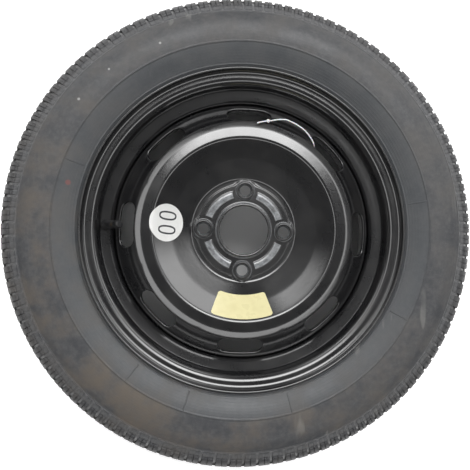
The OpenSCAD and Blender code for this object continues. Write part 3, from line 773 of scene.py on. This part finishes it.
def bolt_patch(line, centre, columns, plate):
    """The sheet round one bolt hole: both faces, the raised boss with its conical seat, and the hole."""
    h = line.thick / 2
    outer = loop_round(np.array(HUB_ROWS), columns - centre)
    px, py = outer[:, 0] * np.cos(outer[:, 1]) - BOLT_R, outer[:, 0] * np.sin(outer[:, 1])
    reach = np.hypot(px, py)
    ux, uy = px / reach, py / reach
    flat = HUB_Z + STEP_RISE
    hole, seat = plate.hole / MM / 2, plate.seat / MM / 2
    boss_z = flat + h + BOSS_RISE
    boss = bent_line([(BOSS_FOOT, flat + h, 0), (13.2, flat + h, 1.2), (11.2, boss_z, 0.9),
                      (seat, boss_z, 0.45),
                      (hole, flat + h, 0.8), (hole, flat + h - 0.8, 0)], turn=12, step=1.5)[0]
    pocket = bent_line([(BOSS_FOOT, flat - h, 0), (11, flat - h, 1.0), (8.8, flat - h + 1.8, 0.8),
                        (hole, flat - h + 1.8, 0.3), (hole, flat - h + 2.4, 0)], turn=15, step=1.5)[0]

    def face(off, profile):
        rings = []
        for k in np.linspace(0, 1, 11)[:-1]:
            rho = reach + (BOSS_FOOT - reach) * k
            x, y = BOLT_R + ux * rho, uy * rho
            r, a = np.hypot(x, y), np.arctan2(y, x)
            if k == 0:
                r, a = outer[:, 0], outer[:, 1]
            rings.append(line.at(line.s_at(r), centre + a, off, hub_rise(r, a)))
        for rho, z in profile:
            x, y = BOLT_R + ux * rho, uy * rho
            r, a = np.hypot(x, y), np.arctan2(y, x) + centre
            rings.append(np.stack([r * np.cos(a), r * np.sin(a), np.full_like(r, z)], -1))
        return rings

    return np.array(face(h, boss) + face(-h, pocket)[::-1])


def disc_grids(plate):
    """All the grids of the disc, which meet edge to edge."""
    line = DiscLine(plate.sheet / MM)
    h = line.thick / 2
    clock = math.radians(plate.clock)
    step = 2 * math.pi / COLUMNS
    all_round = clock + step * np.arange(COLUMNS + 1)
    grids = []
    lip, lip_n = bent_line(DISC_LIP, turn=7.0, step=2.0)

    def ring_grid(points):
        r, z = points[:, :1], points[:, 1:]
        return np.stack([r * np.cos(all_round), r * np.sin(all_round), z + 0 * all_round], -1)

    def edge(p, n, d, reach):
        t = np.radians(np.linspace(-90, 90, 9))[:, None]
        return p + n * h * np.sin(t) + d * reach * np.cos(t)

    grids.append(ring_grid(lip + lip_n * h))
    grids.append(ring_grid(lip - lip_n * h))
    grids.append(ring_grid(edge(lip[0], lip_n[0], np.array([0, 1.0]), h)))
    grids.append(ring_grid(edge(line.points[-1], line.normals[-1], np.array([0, -1.0]), 0.8)))
    s_hub, s_in, s_out = [line.s_at(r) for r in (HUB_ROWS[-1], *VENT_ROWS)]
    for off in (h, -h):
        for quarter in range(4):
            columns = clock + step * (QUARTER * quarter + np.arange(BOLT_COLUMNS, QUARTER - BOLT_COLUMNS + 1))
            r = np.array(HUB_ROWS)[:, None]
            rise = hub_rise(r, fold(columns - clock)[None, :])
            grids.append(line.at(line.s_at(r), columns[None, :], off, rise))
        middle = line.rows[(line.rows > s_hub + 0.6) & (line.rows < s_in - 0.6)]
        middle = np.concatenate([[s_hub], middle, [s_in]])
        grids.append(line.at(middle[:, None], all_round[None, :], off))
        last = line.rows[line.rows > s_out + 0.6]
        last = np.concatenate([[s_out], last])
        grids.append(line.at(last[:, None], all_round[None, :], off))
    rows = np.linspace(s_in, s_out, 13)
    for k in range(8):
        centre = clock + k * math.pi / 4
        columns = clock + step * (EIGHTH * k + np.arange(-EIGHTH // 2, EIGHTH // 2 + 1))
        grids.append(vent_patch(line, centre, rows, columns, plate))
    for k in range(4):
        centre = clock + k * math.pi / 2
        columns = clock + step * (QUARTER * k + np.arange(-BOLT_COLUMNS, BOLT_COLUMNS + 1))
        grids.append(bolt_patch(line, centre, columns, plate))
    return grids


class DiscSettings(bpy.types.PropertyGroup):
    sheet: FloatProperty(name="Sheet", description="Thickness of the disc's steel sheet",
                         default=0.0035, min=0.003, max=0.004, unit="LENGTH")
    clock: FloatProperty(name="First bolt", description="Angle of the first bolt in degrees, from +X",
                         default=-2.5, min=-10, max=10)
    hole: FloatProperty(name="Bolt hole", description="Diameter of a bolt hole",
                        default=0.0146, min=0.012, max=0.015, unit="LENGTH")
    seat: FloatProperty(name="Bolt seat", description="Diameter of the mouth of a conical seat",
                        default=0.0188, min=0.017, max=0.02, unit="LENGTH")
    vent_length: FloatProperty(name="Vent length", description="Length of a vent slot",
                               default=0.058, min=0.04, max=0.064, unit="LENGTH")
    vent_width: FloatProperty(name="Vent width", description="Width of a vent slot up the slope",
                              default=0.025, min=0.016, max=0.026, unit="LENGTH")
    vent_corner: FloatProperty(name="Vent corner", description="Radius of a vent slot's corners",
                               default=0.011, min=0.004, max=0.012, unit="LENGTH")
    paint: FloatVectorProperty(name="Paint", description="Colour of the disc's enamel",
                               subtype="COLOR", default=linear("#111113"), min=0, max=1)


class WHEEL_OT_disc(bpy.types.Operator):
    """Makes the pressed steel disc: bore lip, bolt seats, lands, dish, crown and vents"""
    bl_idname = "wheel.disc"
    bl_label = "Disc"

    def execute(self, context):
        plate = context.scene.wheel_disc
        paint = gloss_enamel("gloss_black_enamel_disc", [*plate.paint, 1], 0.035, worn_above=0.0328)
        piece = piece_from_grids("disc_sheet", disc_grids(plate), paint, sharp=35)
        keep(piece, "wheel", "disc_paint", "disc")
        return {"FINISHED"}


# Valve: made upright, then stood on the rim's ledge

LEDGE_LOW, LEDGE_HIGH, VALVE_R = (171.75, 40.2), (186.6, 52.5), 180.8
STEM_R, STEM_BOTTOM, STEM_TOP, THREAD_DEPTH = 3.87, -7, 31.0, 0.42


def valve_place(valve):
    """Where the valve's foot stands on the rim's sloping ledge, and how it leans."""
    ledge = math.atan2(LEDGE_HIGH[1] - LEDGE_LOW[1], LEDGE_HIGH[0] - LEDGE_LOW[0])
    height = LEDGE_LOW[1] + (VALVE_R - LEDGE_LOW[0]) * math.tan(ledge)
    stand = Matrix.Translation((VALVE_R * MM, 0, height * MM)) @ Matrix.Rotation(-ledge, 4, "Y")
    return Matrix.Rotation(math.radians(valve.angle), 4, "Z") @ stand


def stem_grid(pitch):
    """The brass stem, its thread cut as a helix into its outside."""
    z = np.arange(STEM_BOTTOM, STEM_TOP, pitch / 6)
    t = np.linspace(0, 2 * math.pi, 49)
    turn = (z[:, None] / pitch - t[None, :] / (2 * math.pi)) % 1
    cut = THREAD_DEPTH * (1 - np.abs(2 * turn - 1))
    cut *= smooth_step(z, 17.5, 19.5)[:, None]
    r = STEM_R - cut
    outer = np.stack([r * np.cos(t), r * np.sin(t), z[:, None] + 0 * t], -1)
    ends = np.array([(3.3, 31.5), (2.65, 31.5), (2.65, 25.2), (2, 22), (2, -7)])
    inner = np.stack([ends[:, :1] * np.cos(t), ends[:, :1] * np.sin(t), ends[:, 1:] + 0 * t], -1)
    return [np.concatenate([outer, inner, outer[:1]])]


def cap_rib(finish):
    """One grip rib of the dust cap."""
    rings = []
    for z, rise in ((22.9, 0.0), (23.3, 0.28), (24.0, 0.34), (31.6, 0.34), (32.6, 0.2), (33.1, 0.0)):
        y = np.array([-0.5, -0.36, -0.15, 0.15, 0.36, 0.5])
        x = 4.86 + rise * np.array([0.0, 0.75, 1.0, 1.0, 0.75, 0.0])
        ring = np.stack([x, y, np.full(6, z)], -1)
        back = np.array([[4.6, 0.5, z], [4.6, -0.5, z]])
        rings.append(np.concatenate([ring, back, ring[:1]]))
    rings = [np.tile(rings[0].mean(0), (9, 1))] + rings + [np.tile(rings[-1].mean(0), (9, 1))]
    return piece_from_grids("cap_rib", [np.array(rings)], finish)


class ValveSettings(bpy.types.PropertyGroup):
    angle: FloatProperty(name="Angle", description="Angle of the valve in degrees, from +X",
                         default=178, min=170, max=186)
    pitch: FloatProperty(name="Thread pitch", description="Pitch of the stem's thread",
                         default=0.000794, min=0.0006, max=0.001, unit="LENGTH")
    ribs: IntProperty(name="Cap ribs", description="Number of grip ribs round the dust cap",
                      default=24, min=8, max=36)


class WHEEL_OT_valve(bpy.types.Operator):
    """Makes the valve: rubber body, threaded brass stem, core and ribbed dust cap"""
    bl_idname = "wheel.valve"
    bl_label = "Valve"

    def execute(self, context):
        valve = context.scene.wheel_valve
        place = valve_place(valve)
        rubber = plain_finish("moulded_valve_rubber", "#1b1b1d", (0.42, 0.58), 1.0, 0.06)
        brass = plain_finish("turned_brass", "#b08a4a", (0.25, 0.42), 0.7, 0.03, "#7a6440", 0.3, Metallic=1.0)
        plastic = plain_finish("moulded_cap_plastic", "#19191b", (0.34, 0.48), 0.8, 0.05)
        seal = plain_finish("seal_rubber", "#2a2b2d", (0.6, 0.75), 0.8, 0.04)
        white = plain_finish("sealing_plastic", "#e6e2d8", (0.4, 0.5), 0.8, 0.03, "#c9c2b0", 0.2)
        wire = plain_finish("drawn_spring_wire", "#8e9093", (0.3, 0.4), 0.7, 0.02, "#5e6063", 0.3,
                            Metallic=1.0)

        foot = [(STEM_R, STEM_BOTTOM, 0), (5.4, -9, 0.4), (6.6, -8, 0.8), (9.2, -4.25, 0.7), (9.2, -1.3, 0.3),
                (5.6, -1.3, 0.15), (5.6, 1.3, 0.15), (7.5, 1.3, 0.3), (7.5, 2.85, 0.7), (6.4, 5.75, 1.5),
                (5.5, 10.25, 4), (5.1, 20.0, 0.3), (4.6, 20, 0.1), (STEM_R, 20, 0)]
        outline = bent_line(foot, turn=20, step=2.5)[0]
        body = piece_from_grids("valve_rubber_body", [turned(outline, 48)], rubber, place)
        keep(body, "wheel", "valve_rubber", "valve_body")
        stem = piece_from_grids("valve_threaded_stem", stem_grid(valve.pitch / MM), brass, place, sharp=50)
        keep(stem, "wheel", "brass", "valve_stem")

        outline = [(3.95, 32.75, 0), (3.95, 22.75, 0.2), (4.35, 22.35, 0.2), (5.1, 22.35, 0.3),
                   (5.3, 22.9, 0.3), (4.9, 23.2, 0.2), (4.9, 33.2, 0.9), (4.1, 34.35, 0.5), (0.0, 34.35, 0)]
        shell = bent_line(outline, turn=20, step=3)[0]
        shell = np.concatenate([shell, [(0.0, 32.75)]])
        cap = piece_from_grids("valve_cap_shell", [turned(shell, 60)], plastic, place)
        keep(cap, "cap", "cap_plastic", "valve_cap")
        ribs = repeated("valve_cap_ribs", cap_rib(plastic), plastic, valve.ribs, 360 / valve.ribs,
                        place=place)
        keep(ribs, "cap", "cap_plastic", "valve_cap")

        finishes = {"core_plug": brass, "core_barrel": brass, "core_pin": brass, "barrel_seal": white,
                    "pin_seal": seal, "cap_seal": seal, "pin_spring": wire}
        for node, finish in finishes.items():
            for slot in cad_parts[node].material_slots:
                slot.material = finish
        return {"FINISHED"}


# Labels

DISH_SLOPE = math.atan2(34.65, 50.5)
ROUND_LABEL_R, VINYL, PAPER, INK = 102.8, 0.24, 0.2, 0.035
DIGIT_HALF, DIGIT_STROKE, DIGIT_AT = (12.0, 4.9), 2.3, ((-0.6, -9.4), (-0.9, 9.2))
CURVED_LABEL_R, CURVED_LABEL_ANGLES = (87.6, 118.2), (247.2, 288.0)
CURVED_LABEL_MID, CURVED_LABEL_CORNER = 103.0, 4.0


def skin_grid(line, s, theta, thick):
    """Both faces of a thin label that follows the disc, from its rings of points, and its edge."""
    h = line.thick / 2
    top = line.at(s, theta, h + thick)
    edge = line.at(s[:1], theta[:1], h + thick * 0.6)
    under = line.at(s, theta, h + 0.02)
    return np.concatenate([under[::-1], edge, top])


def printed_ring(line, centre_a, u0, v0):
    """A nought printed on the round label, its middle at (u0, v0)."""
    t = np.linspace(0, 2 * math.pi, 73)
    power = 2.5
    c = np.sign(np.cos(t)) * np.abs(np.cos(t)) ** (2 / power)
    d = np.sign(np.sin(t)) * np.abs(np.sin(t)) ** (2 / power)
    rings = []
    for off, lift in ((0.5, 0.0), (0.5, INK), (-0.5, INK), (-0.5, 0.0), (0.5, 0.0)):
        u = u0 + (DIGIT_HALF[0] + DIGIT_STROKE * off) * c
        v = v0 + (DIGIT_HALF[1] + DIGIT_STROKE * off) * d
        s, a = on_disc(line, ROUND_LABEL_R, centre_a, u, v)
        rings.append(line.at(s, a, line.thick / 2 + VINYL + lift))
    return np.array(rings)


def on_disc(line, centre_r, centre_a, u, v):
    """Where a flat label's point lands: u along the slope, v across it."""
    x, y = centre_r + u * math.cos(DISH_SLOPE), v
    r = np.hypot(x, y)
    return line.s_at(r), centre_a + np.arctan2(y, x)


class LabelSettings(bpy.types.PropertyGroup):
    diameter: FloatProperty(name="Round label", description="Diameter of the round label",
                            default=0.0495, min=0.03, max=0.054, unit="LENGTH")
    angle: FloatProperty(name="Round label angle", description="Angle of its centre in degrees, from +X",
                         default=175, min=165, max=185)
    vinyl: FloatVectorProperty(name="Vinyl", description="Colour of the round label",
                               subtype="COLOR", default=linear("#e6e6e4"), min=0, max=1)
    paper: FloatVectorProperty(name="Paper", description="Colour of the curved label",
                               subtype="COLOR", default=linear("#ded6a6"), min=0, max=1)


class WHEEL_OT_labels(bpy.types.Operator):
    """Makes the round numbered label and the plain curved label in the dish"""
    bl_idname = "wheel.labels"
    bl_label = "Labels"

    def execute(self, context):
        labels = context.scene.wheel_labels
        line = DiscLine(context.scene.wheel_disc.sheet / MM)
        vinyl = plain_finish("white_vinyl", [*labels.vinyl, 1], (0.3, 0.42), 1.4, 0.03, "#c4c3bd", 0.3)
        paper = plain_finish("filmed_paper", [*labels.paper, 1], (0.24, 0.4), 2.0, 0.08, "#c8bd86", 0.4,
                             Coat_Weight=0.4)
        ink = plain_finish("printed_ink", "#38383b", (0.4, 0.5), 1.1, 0.01)

        t = np.linspace(0, 2 * math.pi, 97)
        radii = labels.diameter / MM / 2 * np.array([1.0, 0.985, 0.93, 0.85, 0.75, 0.6, 0.45, 0.3, 0.15, 0.0])
        u, v = radii[:, None] * np.cos(t), radii[:, None] * np.sin(t)
        turn = math.radians(labels.angle)
        s, a = on_disc(line, ROUND_LABEL_R, turn, u, v)
        piece = piece_from_grids("round_label_vinyl", [skin_grid(line, s, a, VINYL)], vinyl)
        keep(piece, "wheel", "white_vinyl", "round_label")
        digits = [printed_ring(line, turn, u0, v0) for u0, v0 in DIGIT_AT]
        piece = piece_from_grids("round_label_print", digits, ink)
        keep(piece, "wheel", "white_vinyl", "round_label")

        s0, s1 = [line.s_at(r) for r in CURVED_LABEL_R]
        a0, a1 = [math.radians(angle) for angle in CURVED_LABEL_ANGLES]
        across, along = (s1 - s0) / 2, (a1 - a0) / 2 * CURVED_LABEL_MID
        corner = CURVED_LABEL_CORNER
        ring = []
        for cx, cy, b0 in ((1, 1, 0), (-1, 1, 90), (-1, -1, 180), (1, -1, 270)):
            sweep = np.radians(np.linspace(b0, b0 + 90, 7))
            x = cx * (across - corner) + corner * np.cos(sweep)
            y = cy * (along - corner) + corner * np.sin(sweep)
            ring += list(zip(x, y))
        ring = np.array(ring + ring[:1])
        dense = []
        for p, q in zip(ring[:-1], ring[1:]):
            count = max(1, math.ceil(np.hypot(*(q - p)) / 2.0))
            dense += [p + (q - p) * i / count for i in range(count)]
        ring = np.array(dense + dense[:1])
        scale = np.array([1.0, 0.985, 0.9, 0.75, 0.55, 0.35, 0.15, 0.0])[:, None]
        s = (s0 + s1) / 2 + scale * ring[None, :, 0]
        a = (a0 + a1) / 2 + scale * ring[None, :, 1] / CURVED_LABEL_MID
        piece = piece_from_grids("curved_label_paper", [skin_grid(line, s, a, PAPER)], paper)
        keep(piece, "wheel", "cream_paper", "curved_label")
        return {"FINISHED"}


# Tag tie

# The middle of the loop, and the head, which is round and stands on the strap
TIE_HUB = (62, 128, 50)
TIE_HEAD = (31, 143, 64.5)
HEAD_PROFILE = [(0.0, -2.3), (0.9, -2.3), (1.7, -1.9), (2.1, -1.2), (2.2, -0.9), (2.55, -0.7), (2.6, 0.0),
                (2.55, 0.7), (2.2, 0.9), (2.1, 1.2), (1.7, 1.9), (0.9, 2.3), (0.0, 2.3)]
TIE_ROUTE = [
    (15.5, 139, 68), (20, 140.5, 67), (25.5, 142, 65.5), (31, 143, 64.5), (36, 143.5, 64.5), (42, 144.5, 65),
    (48, 145, 65.5), (55, 144.5, 66), (62, 142, 65.5), (68.5, 139, 65), (74.5, 135.5, 64), (80, 131.5, 63),
    (84.5, 127, 62), (88, 122.5, 61), (91, 118, 59.5), (93.2, 114, 56.5), (94, 111, 52), (93.5, 108.5, 47),
    (91, 107, 42), (86.5, 107.5, 38), (80, 110, 35), (72, 114.5, 33.5), (64, 119.5, 33.5),
    (56, 125, 34.5), (48.5, 130.5, 37), (42, 136, 41), (36.5, 141, 46), (33, 144.5, 51.5),
    (31.2, 145.6, 57), (31, 144.6, 62.4),
]


def smooth_route(points, parts=4):
    """A smooth curve through the points."""
    p = np.array(points, float)
    p = np.concatenate([[2 * p[0] - p[1]], p, [2 * p[-1] - p[-2]]])
    out = []
    for i in range(1, len(p) - 2):
        for k in range(parts):
            t = k / parts
            out.append(0.5 * (2 * p[i] + (p[i + 1] - p[i - 1]) * t
                              + (2 * p[i - 1] - 5 * p[i] + 4 * p[i + 1] - p[i + 2]) * t * t
                              + (3 * p[i] - p[i - 1] - 3 * p[i + 1] + p[i + 2]) * t ** 3))
    out.append(p[-2])
    return np.array(out)


def tube_grid(route, radius, hub, sides=10, flat=0.8):
    """A strap with an oval section along a route, its ends rounded."""
    d = np.gradient(route, axis=0)
    d /= np.linalg.norm(d, axis=1)[:, None]
    u = np.cross(d, route - np.array(hub))
    u /= np.linalg.norm(u, axis=1)[:, None]
    v = np.cross(d, u)
    t = np.linspace(0, 2 * math.pi, sides + 1)
    size = np.full(len(route), radius)
    size[[0, -1]] = radius * 0.05
    size[[1, -2]] = radius * 0.9
    return (route[:, None] + size[:, None, None] * (u[:, None] * np.cos(t)[None, :, None] * flat
                                                    + v[:, None] * np.sin(t)[None, :, None]))


class TieSettings(bpy.types.PropertyGroup):
    radius: FloatProperty(name="Strap radius", description="Half the width of the tie's strap",
                          default=0.00095, min=0.0008, max=0.0011, unit="LENGTH")
    nylon: FloatVectorProperty(name="Nylon", description="Colour of the tie",
                               subtype="COLOR", default=linear("#f2f4f5"), min=0, max=1)


class WHEEL_OT_tie(bpy.types.Operator):
    """Makes the looped nylon tag tie and its head"""
    bl_idname = "wheel.tie"
    bl_label = "Tag tie"

    def execute(self, context):
        tie = context.scene.wheel_tie
        nylon = plain_finish("moulded_nylon", [*tie.nylon, 1], (0.3, 0.4), 1.1, 0.03, "#cfd2d4", 0.2,
                             Subsurface_Weight=0.15, Subsurface_Scale=0.001)
        strap = tube_grid(smooth_route(TIE_ROUTE), tie.radius / MM, TIE_HUB)
        t = np.linspace(0, 2 * math.pi, 33)
        p = np.array(HEAD_PROFILE)
        head = np.stack([p[:, :1] * np.cos(t), p[:, :1] * np.sin(t), p[:, 1:] + 0 * t], -1)
        along = Vector(TIE_ROUTE[4]) - Vector(TIE_ROUTE[2])
        turn = np.array(along.to_track_quat("Z", "Y").to_matrix())
        head = head @ turn.T + np.array(TIE_HEAD)
        piece = piece_from_grids("tag_tie_strap", [strap, head], nylon, sharp=50)
        keep(piece, "wheel", "nylon", "tag_tie")
        return {"FINISHED"}


# Stage

CAMERA_AT, CAMERA_TURN, CAMERA_SHIFT = (-0.05765, -0.05107, 0.9), (2.987, -7.023, -0.404), -0.0957
FLOOR_HALF, FLOOR_BELOW = 6.0, 0.0005
# radii in metres over which the floor's glow fades out under the wheel, a painted shadow, and the glow's
# strength
PAINTED_SHADOW_UNDER, OPEN_FLOOR_GLOW = (0.22, 0.3), 0.6
# Where each soft light rises and falls: up is 1 overhead and 0 at the horizon, side is degrees from +Y to +X
HIGH_UP, HIGH_SIDE = ((0.7, 0.82), (0.94, 0.985)), ((-42, -12), (28, 62))
LOW_UP, LOW_SIDES = ((0.06, 0.2), (0.3, 0.46)), (((-78, -48), (-28, -6)), ((6, 28), (62, 92)))
RING_UP = ((0.6, 0.68), (0.76, 0.84))


class StageSettings(bpy.types.PropertyGroup):
    key: FloatProperty(name="High light", description="Brightness of the soft light high over the wheel's top",
                       default=6.6, min=0, max=50)
    low: FloatProperty(name="Low light", description="Brightness of the two soft lights low over its top",
                       default=2.8, min=0, max=50)
    ring: FloatProperty(name="Ring light", description="Brightness of the light all round, halfway up",
                        default=2.2, min=0, max=10)
    dim: FloatProperty(name="Fill light", description="Brightness of the rest of the studio",
                       default=0.1, min=0, max=10)
    lens: FloatProperty(name="Lens", description="Focal length of the camera in millimetres",
                        default=49.24, min=20, max=120)
    floor: FloatVectorProperty(name="Floor", description="Colour of the floor",
                               subtype="COLOR", default=linear("#e8e8e8"), min=0, max=1)


class WHEEL_OT_stage(bpy.types.Operator):
    """Makes the camera, the floor and the studio's soft light"""
    bl_idname = "wheel.stage"
    bl_label = "Stage"

    def execute(self, context):
        stage = context.scene.wheel_stage
        # the camera is fitted to the rings of the wheel as the photo shows them
        lens = bpy.data.cameras.new("camera")
        lens.lens = stage.lens
        lens.sensor_width = 36
        lens.shift_x = CAMERA_SHIFT
        lens.clip_end = 50
        camera = bpy.data.objects.new("camera", lens)
        turn = Euler([math.radians(a) for a in CAMERA_TURN], "XYZ").to_matrix().to_4x4()
        camera.matrix_world = Matrix.Translation(CAMERA_AT) @ turn
        context.scene.collection.objects.link(camera)
        context.scene.camera = camera

        # the floor looks white and keeps the wheel's shadow; under the wheel its glow fades out, a painted
        # shadow
        floor, shader, node, place = material("painted_floor", Base_Color=[*stage.floor, 1], Roughness=0.6)
        grain = node(NOISE, {"Vector": place, "Scale": 90.0, "Detail": 3.0})[0]
        normal = node("ShaderNodeBump", {"Height": grain, "Distance": 0.0002, "Strength": 0.2})[0]
        fill(shader, {"Normal": normal})
        rays = node("ShaderNodeLightPath")
        seen = node(MATH, [rays["Is Camera Ray"], rays["Is Glossy Ray"]], operation="MAXIMUM")[0]
        seen = node(MATH, [seen, rays["Is Transmission Ray"]], operation="MAXIMUM")[0]
        radius = round_the_axis(node, place)[0]
        # painted shadow: between these radii the glow fades to nothing, so the floor under the wheel is dark
        glow_past_painted_shadow = node(RANGE, [radius, *PAINTED_SHADOW_UNDER, 0.0, OPEN_FLOOR_GLOW], **SOFT)[0]
        glow = node("ShaderNodeEmission", {"Strength": node(MATH, [seen, glow_past_painted_shadow], **TIMES)[0]})[0]
        both = node("ShaderNodeAddShader", [shader.outputs[0], glow])[0]
        fill(floor.node_tree.nodes["Material Output"], {"Surface": both})
        mesh = bpy.data.meshes.new("floor")
        low = CAD_BOX[0][2] - FLOOR_BELOW
        corners = [(x * FLOOR_HALF, y * FLOOR_HALF, low) for x, y in ((-1, -1), (1, -1), (1, 1), (-1, 1))]
        mesh.from_pydata(corners, [], [(0, 1, 2, 3)])
        mesh.materials.append(floor)
        ground = bpy.data.objects.new("floor", mesh)
        context.scene.collection.objects.link(ground)

        world = bpy.data.worlds.new("studio")
        world.use_nodes = True
        context.scene.world = world
        node = partial(add, world.node_tree)
        x, y, up = node(SPLIT, [node("ShaderNodeTexCoord")["Generated"]])
        side = node(MATH, [node(MATH, [x, y], operation="ARCTAN2")[0]], operation="DEGREES")[0]
        high = node(MATH, [band(node, up, *HIGH_UP), band(node, side, *HIGH_SIDE)], **TIMES)[0]
        pair = node(MATH, [band(node, side, *lobe) for lobe in LOW_SIDES], **PLUS)[0]
        low_sky = node(MATH, [band(node, up, *LOW_UP), pair], **TIMES)[0]
        light = node(MATH, [band(node, up, *RING_UP), stage.ring, stage.dim], operation="MULTIPLY_ADD")[0]
        light = node(MATH, [high, stage.key, light], operation="MULTIPLY_ADD")[0]
        light = node(MATH, [low_sky, stage.low, light], operation="MULTIPLY_ADD")[0]
        seen = node("ShaderNodeLightPath")["Is Camera Ray"]
        light = node(MATH, [light, seen], operation="MAXIMUM")[0]
        fill(world.node_tree.nodes["Background"], {"Color": "#ffffff", "Strength": light})
        context.scene.view_settings.view_transform = "Standard"
        return {"FINISHED"}


class WHEEL_PT_panel(bpy.types.Panel):
    """Lists the wheel's sizes, colours and operators"""
    bl_idname = "WHEEL_PT_panel"
    bl_label = "Spare wheel"
    bl_space_type = "VIEW_3D"
    bl_region_type = "UI"
    bl_category = "Wheel"

    def draw(self, context):
        for title, group, operator in PIECES:
            box = self.layout.box()
            box.label(text=title)
            settings = getattr(context.scene, group)
            for name in type(settings).__annotations__:
                box.prop(settings, name)
            box.operator(operator)


PIECES = (
    ("Tyre", "wheel_tyre", "wheel.tyre"),
    ("Rim", "wheel_rim", "wheel.rim"),
    ("Disc", "wheel_disc", "wheel.disc"),
    ("Valve", "wheel_valve", "wheel.valve"),
    ("Labels", "wheel_labels", "wheel.labels"),
    ("Tag tie", "wheel_tie", "wheel.tie"),
    ("Stage", "wheel_stage", "wheel.stage"),
)
GROUPS = {
    "wheel_tyre": TyreSettings,
    "wheel_rim": RimSettings,
    "wheel_disc": DiscSettings,
    "wheel_valve": ValveSettings,
    "wheel_labels": LabelSettings,
    "wheel_tie": TieSettings,
    "wheel_stage": StageSettings,
}
CLASSES = (WHEEL_OT_tyre, WHEEL_OT_rim, WHEEL_OT_disc, WHEEL_OT_valve, WHEEL_OT_labels, WHEEL_OT_tie,
           WHEEL_OT_stage, WHEEL_PT_panel)


def register():
    for name, group in GROUPS.items():
        bpy.utils.register_class(group)
        setattr(bpy.types.Scene, name, PointerProperty(type=group))
    for each in CLASSES:
        bpy.utils.register_class(each)


def unregister():
    for each in reversed(CLASSES):
        bpy.utils.unregister_class(each)
    for name, group in reversed(list(GROUPS.items())):
        delattr(bpy.types.Scene, name)
        bpy.utils.unregister_class(group)


def main():
    register()
    bpy.ops.wheel.stage()
    bpy.ops.wheel.tyre()
    bpy.ops.wheel.rim()
    bpy.ops.wheel.disc()
    bpy.ops.wheel.valve()
    bpy.ops.wheel.labels()
    bpy.ops.wheel.tie()


if __name__ == "__main__":
    main()
